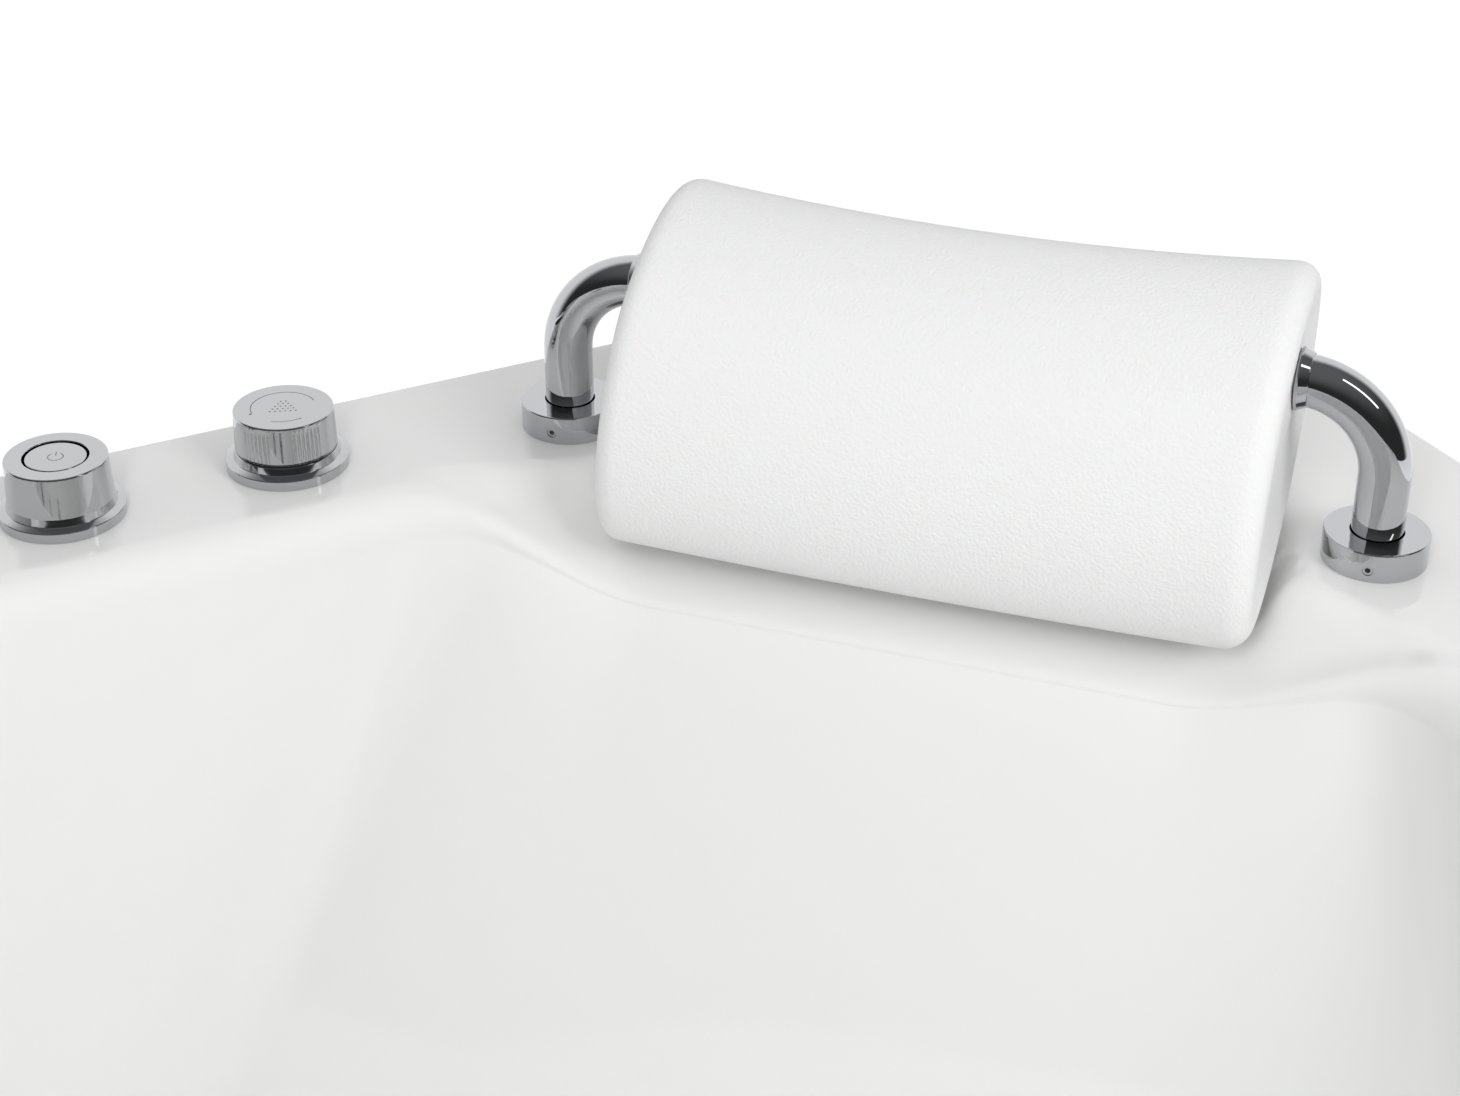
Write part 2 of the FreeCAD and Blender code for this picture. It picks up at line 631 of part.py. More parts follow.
ROSE_PROFILE = [(STUD_R + 0.05, 0), (ROSE_OD / 2, 0), (ROSE_OD / 2, ROSE_HEIGHT - 0.5),
                (ROSE_OD / 2 - 0.5, ROSE_HEIGHT), (RAIL_OD / 2 + ROSE_BORE_GAP, ROSE_HEIGHT),
                (RAIL_OD / 2 + ROSE_BORE_GAP, RAIL_FOOT_RISE), (STUD_R + 0.05, RAIL_FOOT_RISE)]
roses, grubs, fixings, collars = [], [], [], []
for foot in (FOOT_LEFT, FOOT_RIGHT):
    seat = foot + UP * DECK_Z
    grub_start = seat + FORWARD * (RAIL_OD / 2) + UP * SCREW_RISE
    grub_length = ROSE_OD / 2 - RAIL_OD / 2 - 0.4
    roses.append(revolved(ROSE_PROFILE, seat).cut(cylinder(GRUB_R, 20, grub_start, FORWARD)))
    grub = cylinder(GRUB_R, grub_length, grub_start, FORWARD)
    socket = hex_nut(2.5, 2.5, 0.01, grub_start + FORWARD * (grub_length - 2.5), FORWARD)
    grubs.append(grub.cut(socket))
    fixings.append(cylinder(STUD_R, 24 + 45, seat - UP * 45))
    fixings.append(cylinder(13, 2, seat - UP * (SKIN + 2)).cut(cylinder(STUD_R, 9, seat - UP * 12)))
    fixings.append(hex_nut(17, 8, STUD_R, seat - UP * (SKIN + 10)))
for side in (-1, 1):
    bore = RAIL_OD / 2 + 0.4
    collars.append(revolved([(bore, 0), (15.1, 0), (15.1, 1.5), (13.6, 6.0), (bore, 6.0)],
                            head_point(side * PILLOW_LENGTH / 2, 0, DECK_Z + RAIL_AXIS_RISE), ALONG * side))
parts["headrest_roses"] = group(roses)
parts["rose_grub_screws"] = group(grubs)
parts["headrest_studs"] = group(fixings)
parts["pillow_collars"] = group(collars)

# ---------------------------------------------------------------- deck controls

RUN_GAP = 0.06
BUTTON_BORE = BUTTON_R + 1.0
TAIL_FOOT = -TAIL_LENGTH
FLANGE_STEP = [(CONTROL_FLANGE_R, 0.0), (CONTROL_FLANGE_R, 5.0), (CONTROL_FLANGE_R - 0.6, 5.6), (26.4, 10.4)]
GASKET_PROFILE = [(20.0, 0.0), (28.0, 0.0), (28.0, 1.0), (20.0, 1.0)]


def control_seat(xy):
    return Vec(*xy, DECK_Z)


def make_button():
    seat = control_seat(BUTTON_XY)
    housing = [(TAIL_R, TAIL_FOOT), (TAIL_R, 0.0)] + FLANGE_STEP
    housing += [(CONTROL_TOP_R, CONTROL_HEIGHT - 0.8), (CONTROL_TOP_R - 0.8, CONTROL_HEIGHT),
                (BUTTON_BORE, CONTROL_HEIGHT), (BUTTON_BORE, 8.0), (3.0, 8.0), (3.0, TAIL_FOOT)]
    shell = revolved(housing, seat).cut(revolved(GASKET_PROFILE, seat))
    barb = revolved([(2.0, TAIL_FOOT - 16), (3.0, TAIL_FOOT - 16), (4.0, TAIL_FOOT - 10),
                     (3.0, TAIL_FOOT - 10), (4.0, TAIL_FOOT - 4), (3.0, TAIL_FOOT - 4), (3.0, TAIL_FOOT + 6),
                     (2.0, TAIL_FOOT + 6)], seat)
    guide = BUTTON_BORE - RUN_GAP
    cap = revolved([(0, 20.0), (12.0, 20.0), (12.0, 14.0), (guide, 14.0), (guide, 27.0), (BUTTON_R, 27.5),
                    (BUTTON_R, CONTROL_HEIGHT - 0.5), (BUTTON_R - 0.5, CONTROL_HEIGHT),
                    (0, CONTROL_HEIGHT)], seat)
    folds = [(3.2, 8.0), (11.0, 8.0), (11.0, 10.0), (8.0, 12.5), (11.0, 15.5), (8.0, 18.5), (8.0, 20.0),
             (7.0, 20.0), (7.0, 18.2), (9.7, 15.5), (7.0, 12.8), (7.0, 9.0), (3.2, 9.0)]
    return shell.fuse(barb), cap, revolved(folds, seat)


parts["button_housing"], parts["power_button"], parts["button_bellows"] = make_button()

KNOB_FOOT = 10.7
SPIGOT_R = 19.0
SLEEVE_R = 11.0
KNOB_RIBS = 6


def make_air_control():
    seat = control_seat(AIR_XY)
    base = [(TAIL_R, TAIL_FOOT), (TAIL_R, 0.0)] + FLANGE_STEP
    base += [(SPIGOT_R, 10.4), (SPIGOT_R, 22.0), (SLEEVE_R + RUN_GAP, 22.0), (SLEEVE_R + RUN_GAP, -30.0),
             (8.0, -30.0), (8.0, TAIL_FOOT)]
    body = revolved(base, seat).cut(revolved(GASKET_PROFILE, seat))
    knob = revolved([(0, 22.5), (SPIGOT_R + RUN_GAP, 22.5), (SPIGOT_R + RUN_GAP, KNOB_FOOT),
                     (26.0, KNOB_FOOT), (CONTROL_TOP_R, CONTROL_HEIGHT - 0.8),
                     (CONTROL_TOP_R - 0.8, CONTROL_HEIGHT), (0, CONTROL_HEIGHT)], seat)
    grooves = []
    for cluster in range(3):
        for rib in range(KNOB_RIBS + 1):
            angle = 120.0 * cluster + 268.0 + (rib - KNOB_RIBS / 2) * 7.5
            groove = box(Vec(25.0, -0.7, KNOB_FOOT + 1.5), Vec(27.0, 0.7, CONTROL_HEIGHT - 3.0))
            groove.rotate(Vec(0, 0, 0), UP, angle)
            groove.translate(seat)
            grooves.append(groove)
    knob = knob.cut(group(grooves))
    sleeve = revolved([(0, -2.0), (9.0, -2.0), (9.0, -28.0), (SLEEVE_R, -28.0), (SLEEVE_R, 2.0),
                       (6.0, 2.0), (6.0, 22.5), (0, 22.5)], seat)
    window = box(Vec(-4, 0, -22), Vec(4, 14, -10))
    window.translate(seat)
    port = cylinder(6.0, 12, seat + Vec(0, 0, -16) + Vec(0, 8, 0), Vec(0, 1, 0))
    return body.cut(port), knob, sleeve.cut(window)


parts["air_control_body"], parts["air_knob"], parts["air_valve_sleeve"] = make_air_control()

deck_nuts, gaskets = [], []
for xy in (BUTTON_XY, AIR_XY):
    under = control_seat(xy) - UP * (SKIN + 8)
    deck_nuts.append(hex_nut(46, 8, TAIL_R, under))
    gaskets.append(revolved(GASKET_PROFILE, control_seat(xy)))
parts["control_nuts"] = group(deck_nuts)
parts["control_gaskets"] = group(gaskets)

# ---------------------------------------------------------------- jets

JET_CLEAR = 0.4
JET_BODY_R = 27.0
JET_BODY_LENGTH = 62.0
jet_bodies, jet_faces = [], []
BALL_SEAT = JET_BALL_R + 0.3
BALL_CENTRE = 4.0


def jet_socket(point, out, seat):
    """Body behind the wall, threaded through it. seat is where its flange bears."""
    outline = [(BALL_SEAT, 2.0), (24.0, 2.0), (24.0, seat), (JET_BODY_R + 6, seat),
               (JET_BODY_R + 6, seat + 7), (JET_BODY_R, seat + 9), (JET_BODY_R, JET_BODY_LENGTH),
               (0, JET_BODY_LENGTH), (0, JET_BODY_LENGTH - 4), (BALL_SEAT, JET_BODY_LENGTH - 8)]
    return revolved(outline, point, out)


for number, (point, out) in enumerate(JETS, start=1):
    jet_bodies.append(jet_socket(point, out, SKIN + (0.3 if number < 5 else 2.8)))
    jet_faces.append(revolved([(BALL_SEAT, -6.5), (22.5, -6.5), (JET_FACE_R - 1.0, -3.0), (JET_FACE_R, -1.4),
                               (JET_FACE_R, -JET_CLEAR), (24.0, -JET_CLEAR), (24.0, 1.8), (BALL_SEAT, 1.8)],
                              point, out))
    ball = [(math.sqrt(JET_BALL_R ** 2 - (h - BALL_CENTRE) ** 2), h) for h in (-6.0, -1.5, 4.0, 11.0, 18.0)]
    bore = [(JET_BORE_R, 18.0), (JET_BORE_R, -2.5), (9.0, -6.0)]
    parts["jet_nozzle_%d" % number] = revolved(ball + bore, point, out)
parts["jet_bodies"] = group(jet_bodies)
parts["jet_escutcheons"] = group(jet_faces)

# ---------------------------------------------------------------- water, air and suction pipes

WATER_OUT = 72.0
AIR_OUT = 30.0
ARC_END = 46.0


def ring_route(depth, off):
    """Corners of a pipe line that follows the wall: back, foot and narrow front."""
    corners, radii = basin_section(depth, off)
    bulge = corners[BASIN_CONCAVE]
    radius = radii[BASIN_CONCAVE]
    centre = Vec(bulge[0] - radius * SWEEP_TANGENT, bulge[1] - radius, DECK_Z - depth)
    return corners, centre, radius


def sweep_pipe(centre, radius, pipe_r):
    """Pipe along the bulge of the front wall, from the straight part to its closed end."""
    disc = Part.Face(Part.Wire(Part.makeCircle(pipe_r, centre + polar(radius, 90), Vec(1, 0, 0))))
    return disc.revolve(centre, UP, ARC_END - 90)


def branch(pipes, tools, stubs):
    """Fuse each stub to the pipe it meets, then cut the fittings out of the pipes."""
    whole = []
    for pipe in pipes:
        for stub in stubs:
            if pipe.distToShape(stub)[0] < 0.01:
                pipe = pipe.fuse(stub)
        for tool in tools:
            if pipe.BoundBox.intersect(tool.BoundBox):
                pipe = pipe.cut(tool)
        whole += pipe.Solids
    return whole


def make_water_line():
    corners, centre, radius = ring_route(JET_DEPTH, WATER_OUT)
    z = WATER_PIPE_Z
    back_y = corners[6][1]
    end_x = corners[6][0]
    front_y = corners[5][1]
    high = 405.0
    route = [Vec(512, 390, 362), Vec(512, 390, high), Vec(512, back_y, high), Vec(420, back_y, high),
             Vec(330, back_y, z), Vec(end_x, back_y, z), Vec(end_x, front_y, z),
             Vec(centre.x, front_y, z)]
    runs, bends = tube_run(route, [38, 38, 45, 45, 45, 45], WATER_PIPE_R)
    runs.append(sweep_pipe(centre, radius, WATER_PIPE_R))
    stubs = []
    for point, out in JETS:
        level = Vec(out.x, out.y, 0).normalize()
        start = point + out * 50
        reach = WATER_OUT - 50 * Vec(out.x, out.y, 0).Length
        stubs.append(cylinder(12, reach, Vec(start.x, start.y, start.z), level))
    return branch(runs, jet_bodies, stubs), bends


water_runs, water_bends = make_water_line()
parts["water_pipes"] = group(water_runs + water_bends)


def make_air_line():
    depth = DECK_Z - AIR_PIPE_Z
    corners, centre, radius = ring_route(depth, AIR_OUT)
    z = AIR_PIPE_Z
    back_y = corners[6][1]
    end_x = corners[6][0]
    front_y = corners[5][1]
    x, y = AIR_XY
    route = [Vec(x, y, DECK_Z + TAIL_FOOT), Vec(x, y, z), Vec(x, back_y, z), Vec(end_x, back_y, z),
             Vec(end_x, front_y, z), Vec(centre.x, front_y, z)]
    runs, bends = tube_run(route, [25, 25, 30, 30], AIR_PIPE_R)
    runs.append(sweep_pipe(centre, radius, AIR_PIPE_R))
    stubs = []
    for point, out in JETS:
        start = point + out * 37
        stubs.append(cylinder(6, z - start.z, start))
    return branch(runs, jet_bodies, stubs), bends


air_runs, air_bends = make_air_line()
parts["air_pipes"] = group(air_runs + air_bends)

SUCTION_LENGTH = 76.0
suction_centre = SUCTION_POINT + SUCTION_OUT * 50
suction_shell = revolved([(0, 58), (22, 58), (22, 2), (30, 2), (30, SKIN + 0.3),
                          (SUCTION_R + 2, SKIN + 0.3), (SUCTION_R + 2, SKIN + 8), (31, SKIN + 10),
                          (31, SUCTION_LENGTH), (0, SUCTION_LENGTH)], SUCTION_POINT, SUCTION_OUT)
spider = revolved([(2.5, 2.2), (22.0, 2.2), (22.0, 6.0), (2.5, 6.0)], SUCTION_POINT, SUCTION_OUT)
parts["suction_body"] = suction_shell.fuse(spider)


def make_suction_cover():
    """Domed cover, drilled with rings of holes, held by one screw in its middle."""
    cover = revolved([(0, -9.0), (14.0, -9.0), (30.0, -6.5), (SUCTION_R, -2.0), (SUCTION_R, -JET_CLEAR),
                      (36.0, -JET_CLEAR), (28.0, -3.5), (13.0, -6.0), (0, -6.0)], Vec(0, 0, 0))
    drills = []
    for ring_r, count in ((16.0, 8), (24.0, 12)):
        for k in range(count):
            drills.append(Part.makeBox(5.0, 5.0, 20, Vec(-2.5, -2.5, -15)))
            drills[-1].translate(polar(ring_r, 360.0 * k / count))
    cover = cover.cut(group(drills)).cut(cylinder(2.5, 20, Vec(0, 0, -15)))
    cover.Placement = FreeCAD.Placement(SUCTION_POINT, FreeCAD.Rotation(UP, SUCTION_OUT))
    return cover


parts["suction_cover"] = make_suction_cover()
parts["suction_screw"] = revolved([(0, -10.2), (4.2, -10.2), (5.0, -9.0), (2.5, -9.0), (2.5, 8), (0, 8)],
                                  SUCTION_POINT, SUCTION_OUT)
inlet_face = PUMP_WET_X - 46.0
suction_route = [suction_centre, Vec(300, suction_centre.y, suction_centre.z),
                 Vec(395, PUMP_AXIS.y, PUMP_AXIS.z), Vec(inlet_face, PUMP_AXIS.y, PUMP_AXIS.z)]
suction_runs, suction_bends = tube_run(suction_route, [60, 40], SUCTION_PIPE_R)
suction_runs[0] = suction_runs[0].cut(cylinder(31.0, SUCTION_LENGTH, SUCTION_POINT, SUCTION_OUT))
parts["suction_pipe"] = group(suction_runs + suction_bends)

# ---------------------------------------------------------------- pump

ALONG_X = Vec(1, 0, 0)
SHAFT_R = 8.0
WET_LENGTH = 66.0
MOTOR_X = PUMP_WET_X + WET_LENGTH + 14.0
MOTOR_LENGTH = 170.0
FAN_X = MOTOR_X + MOTOR_LENGTH
VOLUTE_R = 78.0
DISCHARGE_Y = 390.0
DISCHARGE_X = 512.0


def on_axis(x):
    return Vec(x, PUMP_AXIS.y, PUMP_AXIS.z)


def turned(profile, x):
    """Solid of revolution about the pump axis, heights measured from x along it."""
    return revolved(profile, on_axis(x), ALONG_X)


def make_wet_end():
    body = turned([(0, 0), (VOLUTE_R, 0), (VOLUTE_R, WET_LENGTH), (0, WET_LENGTH)], PUMP_WET_X)
    body = body.fuse(cylinder(30, 30, on_axis(PUMP_WET_X - 30), ALONG_X))
    body = body.fuse(cylinder(27, 104, Vec(DISCHARGE_X, DISCHARGE_Y, PUMP_AXIS.z)))
    chamber = turned([(0, 14), (64, 14), (64, WET_LENGTH - 10), (0, WET_LENGTH - 10)], PUMP_WET_X)
    body = body.cut(chamber).cut(cylinder(20, 60, on_axis(PUMP_WET_X - 40), ALONG_X))
    body = body.cut(cylinder(19, 80, Vec(DISCHARGE_X, DISCHARGE_Y, PUMP_AXIS.z + 30)))
    body = body.cut(cylinder(14, 20, on_axis(PUMP_WET_X + WET_LENGTH - 12), ALONG_X))
    return body.removeSplitter()


parts["pump_wet_end"] = make_wet_end()
UNION_TOP = 362.0
parts["pump_unions"] = group([
    cylinder(36, 34, Vec(DISCHARGE_X, DISCHARGE_Y, UNION_TOP - 34)).cut(
        cylinder(27, 12, Vec(DISCHARGE_X, DISCHARGE_Y, UNION_TOP - 34))).cut(
        cylinder(WATER_PIPE_R, 30, Vec(DISCHARGE_X, DISCHARGE_Y, UNION_TOP - 22))),
    cylinder(38, 34, on_axis(inlet_face), ALONG_X).cut(
        cylinder(30, 20, on_axis(PUMP_WET_X - 30), ALONG_X)).cut(
        cylinder(20, 40, on_axis(inlet_face), ALONG_X))])


def make_motor():
    """Finned casing with the end shields that carry the bearings."""
    casing = turned([(SHAFT_R + 4, 0), (MOTOR_R - 8, 0), (MOTOR_R - 8, MOTOR_LENGTH),
                     (SHAFT_R + 4, MOTOR_LENGTH), (SHAFT_R + 4, MOTOR_LENGTH - 5),
                     (20, MOTOR_LENGTH - 5), (20, MOTOR_LENGTH - 20), (36, MOTOR_LENGTH - 24),
                     (36, 24), (20, 20), (20, 5), (SHAFT_R + 4, 5)], MOTOR_X)
    fins = []
    for k in range(24):
        angle = 15.0 * k + 7.5
        if 60 < angle < 120 or 240 < angle < 300:
            continue
        fin = Part.makeBox(MOTOR_LENGTH - 30, 3.0, 12.0, Vec(MOTOR_X + 15, -1.5, MOTOR_R - 12))
        fin.rotate(Vec(0, 0, 0), ALONG_X, angle - 90)
        fin.translate(Vec(0, PUMP_AXIS.y, PUMP_AXIS.z))
        fins.append(fin)
    pads = box(Vec(MOTOR_X + 20, PUMP_AXIS.y - 50, RAIL_TOP + 6),
               Vec(MOTOR_X + 50, PUMP_AXIS.y + 50, PUMP_AXIS.z - 30))
    pads = pads.fuse(box(Vec(MOTOR_X + 118, PUMP_AXIS.y - 50, RAIL_TOP + 6),
                         Vec(MOTOR_X + 148, PUMP_AXIS.y + 50, PUMP_AXIS.z - 30)))
    pads = pads.cut(cylinder(MOTOR_R - 8, MOTOR_LENGTH, on_axis(MOTOR_X), ALONG_X))
    return joined([casing] + fins).fuse(pads).removeSplitter()


parts["pump_motor"] = make_motor()
parts["pump_seal_plate"] = turned([(SHAFT_R + 6, 0), (VOLUTE_R - 6, 0), (VOLUTE_R - 6, 6),
                                   (MOTOR_R - 10, 14), (SHAFT_R + 6, 14)], PUMP_WET_X + WET_LENGTH)
BEARING_BORE = SHAFT_R + 0.03
bearings = []
for start in (5, MOTOR_LENGTH - 20):
    bearings.append(turned([(BEARING_BORE, start), (20, start), (20, start + 15),
                            (BEARING_BORE, start + 15)], MOTOR_X))
parts["pump_bearings"] = group(bearings)
parts["shaft_seal"] = turned([(BEARING_BORE, -9), (13.9, -9), (13.9, 8), (BEARING_BORE, 8)],
                             PUMP_WET_X + WET_LENGTH)
shaft_start = PUMP_WET_X + 24.0
parts["pump_shaft"] = turned([(0, 0), (SHAFT_R, 0), (SHAFT_R, MOTOR_X + 30 - shaft_start),
                              (34, MOTOR_X + 30 - shaft_start), (34, MOTOR_X + 138 - shaft_start),
                              (SHAFT_R, MOTOR_X + 138 - shaft_start), (SHAFT_R, FAN_X + 26 - shaft_start),
                              (0, FAN_X + 26 - shaft_start)], shaft_start)


def make_impeller():
    disc = turned([(SHAFT_R, 12), (58, 16), (58, 20), (SHAFT_R, 20)], shaft_start)
    blades = []
    for k in range(6):
        outer = cylinder(42, 13, on_axis(shaft_start + 4) + Vec(0, 30, 0), ALONG_X)
        inner = cylinder(39, 13, on_axis(shaft_start + 4) + Vec(0, 30, 0), ALONG_X)
        reach = cylinder(57, 13, on_axis(shaft_start + 4), ALONG_X).cut(
            cylinder(16, 13, on_axis(shaft_start + 4), ALONG_X))
        half_space = box(Vec(shaft_start, PUMP_AXIS.y - 10, PUMP_AXIS.z),
                         Vec(shaft_start + 30, PUMP_AXIS.y + 70, PUMP_AXIS.z + 70))
        blade = outer.cut(inner).common(reach).common(half_space)
        blade.rotate(on_axis(0), ALONG_X, 60.0 * k)
        blades.append(blade)
    hub = turned([(SHAFT_R, 4), (15, 4), (16, 17), (SHAFT_R, 17)], shaft_start)
    return joined([disc, hub] + blades)


parts["pump_impeller"] = make_impeller()


def make_fan():
    hub = turned([(SHAFT_R, 4), (16, 4), (16, 22), (SHAFT_R, 22)], FAN_X)
    blades = []
    for k in range(7):
        blade = Part.makeBox(16, 2.5, 42, Vec(FAN_X + 5, -1.25, 14))
        blade.rotate(Vec(0, 0, 0), ALONG_X, 360.0 * k / 7)
        blade.translate(Vec(0, PUMP_AXIS.y, PUMP_AXIS.z))
        blades.append(blade)
    return joined([hub] + blades)


parts["cooling_fan"] = make_fan()


def make_fan_cover():
    cover = turned([(MOTOR_R - 8, -10), (MOTOR_R + 2, -10), (MOTOR_R + 2, 30), (MOTOR_R - 4, 36),
                    (0, 36), (0, 33), (MOTOR_R - 6, 33), (MOTOR_R - 1, 28), (MOTOR_R - 1, 0),
                    (MOTOR_R - 8, 0)], FAN_X)
    slots = []
    for k in range(-4, 5):
        half = math.sqrt((MOTOR_R - 14) ** 2 - (k * 12) ** 2)
        slots.append(box(Vec(FAN_X + 30, PUMP_AXIS.y - half, PUMP_AXIS.z + 12 * k - 3),
                         Vec(FAN_X + 40, PUMP_AXIS.y + half, PUMP_AXIS.z + 12 * k + 3)))
    return cover.cut(group(slots))


parts["fan_cover"] = make_fan_cover()
top = PUMP_AXIS.z + MOTOR_R - 14
casing_core = cylinder(MOTOR_R - 8, MOTOR_LENGTH, on_axis(MOTOR_X), ALONG_X)
terminal_block = box(Vec(MOTOR_X + 45, PUMP_AXIS.y - 38, top), Vec(MOTOR_X + 135, PUMP_AXIS.y + 38, top + 52))
parts["terminal_box"] = terminal_block.cut(casing_core).cut(parts["pump_motor"])
parts["cable_gland"] = revolved([(4.5, 0), (11, 0), (11, 6), (9, 6), (9, 16), (7, 20), (4.5, 20)],
                                Vec(MOTOR_X + 135, PUMP_AXIS.y, top + 34), ALONG_X)
parts["pump_base"] = box(Vec(MOTOR_X + 5, PUMP_AXIS.y - 75, RAIL_TOP),
                         Vec(MOTOR_X + 163, PUMP_AXIS.y + 75, RAIL_TOP + 6))
bolts = []
for x in (MOTOR_X + 35, MOTOR_X + 133):
    for y in (-62, 62):
        bolts.append(revolved([(0, 0), (7, 0), (7, 5), (0, 5)], Vec(x, PUMP_AXIS.y + y, RAIL_TOP + 6)))
parts["pump_base_bolts"] = group(bolts)

# ---------------------------------------------------------------- waste and overflow

WASTE_FOOT = 66.0
BRANCH_Z = 100.0
OVERFLOW_X = -736.0
waste_seat = Vec(*WASTE_XY, FLOOR_Z)
PLUG_STEM_R = 4.0
waste = revolved([(20.0, -62), (25.0, -62), (25.0, 0), (WASTE_R, 0), (WASTE_R - 1, 2.5), (30.0, 2.5),
                  (26.0, -3), (20.0, -5)], waste_seat)
cross = revolved([(PLUG_STEM_R + RUN_GAP, -40), (8, -40), (8, -28), (PLUG_STEM_R + RUN_GAP, -28)], waste_seat)
arms = box(Vec(-21, -1.5, -40), Vec(21, 1.5, -30)).cut(cylinder(6, 40, Vec(0, 0, -50)))
arms.translate(waste_seat)
parts["waste_flange"] = joined([waste, cross, arms])
parts["waste_plug"] = revolved([(0, -48), (PLUG_STEM_R, -48), (PLUG_STEM_R, -4.4), (20.0, -4.0), (23.0, -2.0),
                                (24.0, 1.0), (21.0, 3.4), (0, 4.4)], waste_seat)
cup_foot = WASTE_FOOT - FLOOR_Z
parts["waste_body"] = revolved([(25.0, -24), (31.0, -24), (31.0, cup_foot), (16.0, cup_foot),
                                (16.0, cup_foot + 4), (25.0, cup_foot + 6)], waste_seat)
waste_nut = revolved([(31.05, -24.5), (42, -24.5), (42, -34), (31.05, -34)], waste_seat)
trap = revolved([(16, 66), (28, 66), (28, 61), (20, 61), (20, 50), (38, 44), (40, 14), (36, 10), (0, 10),
                 (0, 14), (34, 14), (34, 40), (16, 46)], Vec(*WASTE_XY, 0))
ALONG_Y = Vec(0, 1, 0)


def outlet_bar(radius, start, end):
    """Round bar along the trap's outlet, start and end measured from the waste's axis."""
    return cylinder(radius, end - start, Vec(WASTE_XY[0], WASTE_XY[1] + start, OUTLET_Z), ALONG_Y)


outlet = outlet_bar(OUTLET_R, 30, OUTLET_END).fuse(outlet_bar(OUTLET_R + 4, 30, OUTLET_END - OUTLET_LENGTH))
trap = trap.fuse(outlet.cut(cylinder(39.5, 60, Vec(*WASTE_XY, 8))))
parts["bath_trap"] = trap.cut(outlet_bar(OUTLET_R - 2.5, 24, OUTLET_END + 10))
trap_union = revolved([(20.3, 50.5), (36.0, 50.5), (36.0, 78.0), (31.3, 78.0), (31.3, 65.7), (28.3, 65.7),
                       (28.3, 60.7), (20.3, 60.7)], Vec(*WASTE_XY, 0))
parts["waste_nuts"] = group([waste_nut, trap_union])
overflow_centre = OVERFLOW_POINT + OVERFLOW_OUT * 38
parts["overflow_body"] = revolved([(0, 52), (26, 52), (26, SKIN + 10), (OVERFLOW_R, SKIN + 8),
                                   (OVERFLOW_R, SKIN + 0.3), (24, SKIN + 0.3), (24, 2), (20, 2),
                                   (20, 48), (0, 48)], OVERFLOW_POINT, OVERFLOW_OUT)
overflow_route = [overflow_centre, Vec(OVERFLOW_X, overflow_centre.y, overflow_centre.z),
                  Vec(OVERFLOW_X, overflow_centre.y, BRANCH_Z), Vec(WASTE_XY[0] - 20, WASTE_XY[1], BRANCH_Z)]
pipe_runs, pipe_bends = tube_run(overflow_route, [20, 30], 16.0)
cut_runs = []
for run in pipe_runs:
    clear = run.cut(cylinder(26, 60, OVERFLOW_POINT, OVERFLOW_OUT))
    clear = clear.cut(cylinder(31.0, 120, Vec(*WASTE_XY, 50)))
    cut_runs.append(max(clear.Solids, key=lambda q: q.Volume))
parts["overflow_pipe"] = group(cut_runs + pipe_bends)
parts["overflow_plate"] = revolved([(6 + RUN_GAP, -8), (OVERFLOW_R - 3, -8), (OVERFLOW_R, -5),
                                    (OVERFLOW_R, -JET_CLEAR), (24, -JET_CLEAR), (24, 2),
                                    (6 + RUN_GAP, 2)], OVERFLOW_POINT, OVERFLOW_OUT)
parts["overflow_knob"] = revolved([(0, -30), (25, -30), (28, -27), (28, -8.6), (6, -8.6), (6, 26), (0, 26)],
                                  OVERFLOW_POINT, OVERFLOW_OUT)
os.makedirs("parts", exist_ok=True)
for name, shape in parts.items():
    print(name, "solids", len(shape.Solids), "valid", shape.isValid(), "volume", round(shape.Volume / 1000))
    shape.exportStep("parts/%s.step" % name)
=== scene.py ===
import json
import math

import bmesh
import bpy
import numpy as np
from mathutils import Matrix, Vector
from mathutils.geometry import delaunay_2d_cdt


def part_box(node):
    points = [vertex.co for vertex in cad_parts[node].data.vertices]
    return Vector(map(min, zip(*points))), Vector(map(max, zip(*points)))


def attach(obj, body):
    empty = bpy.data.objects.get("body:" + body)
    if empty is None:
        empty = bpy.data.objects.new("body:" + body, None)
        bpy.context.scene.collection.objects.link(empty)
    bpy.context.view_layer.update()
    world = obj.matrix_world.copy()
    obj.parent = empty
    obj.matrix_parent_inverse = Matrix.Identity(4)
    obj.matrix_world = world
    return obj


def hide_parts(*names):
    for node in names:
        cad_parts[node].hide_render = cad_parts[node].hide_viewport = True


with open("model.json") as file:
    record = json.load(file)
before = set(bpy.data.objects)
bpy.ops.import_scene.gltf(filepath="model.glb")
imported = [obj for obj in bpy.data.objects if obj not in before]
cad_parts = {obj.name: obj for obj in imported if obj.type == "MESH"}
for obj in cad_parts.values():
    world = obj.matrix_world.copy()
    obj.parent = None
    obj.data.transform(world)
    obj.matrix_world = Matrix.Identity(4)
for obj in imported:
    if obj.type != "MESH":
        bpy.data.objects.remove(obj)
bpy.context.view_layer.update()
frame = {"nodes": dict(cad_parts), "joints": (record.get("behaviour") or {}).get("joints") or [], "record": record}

# ------------------------------------------------------------------ acrylic shell
# One vacuum-formed sheet of white sanitary acrylic, backed with glass fibre, 6 mm thick in all.
# It stands on the frame by the board under its floor. The deck rolls over into the basin, and
# dips under the headrest so that the pillow's lower side hangs clear of it.

DECK = 0.600
SKIN = 0.006
LIP = 0.040
LIP_ROUND = 0.005
ROLL = 0.022
FILLET = 0.050
BASIN = 0.430
WALL_FOOT = BASIN - FILLET

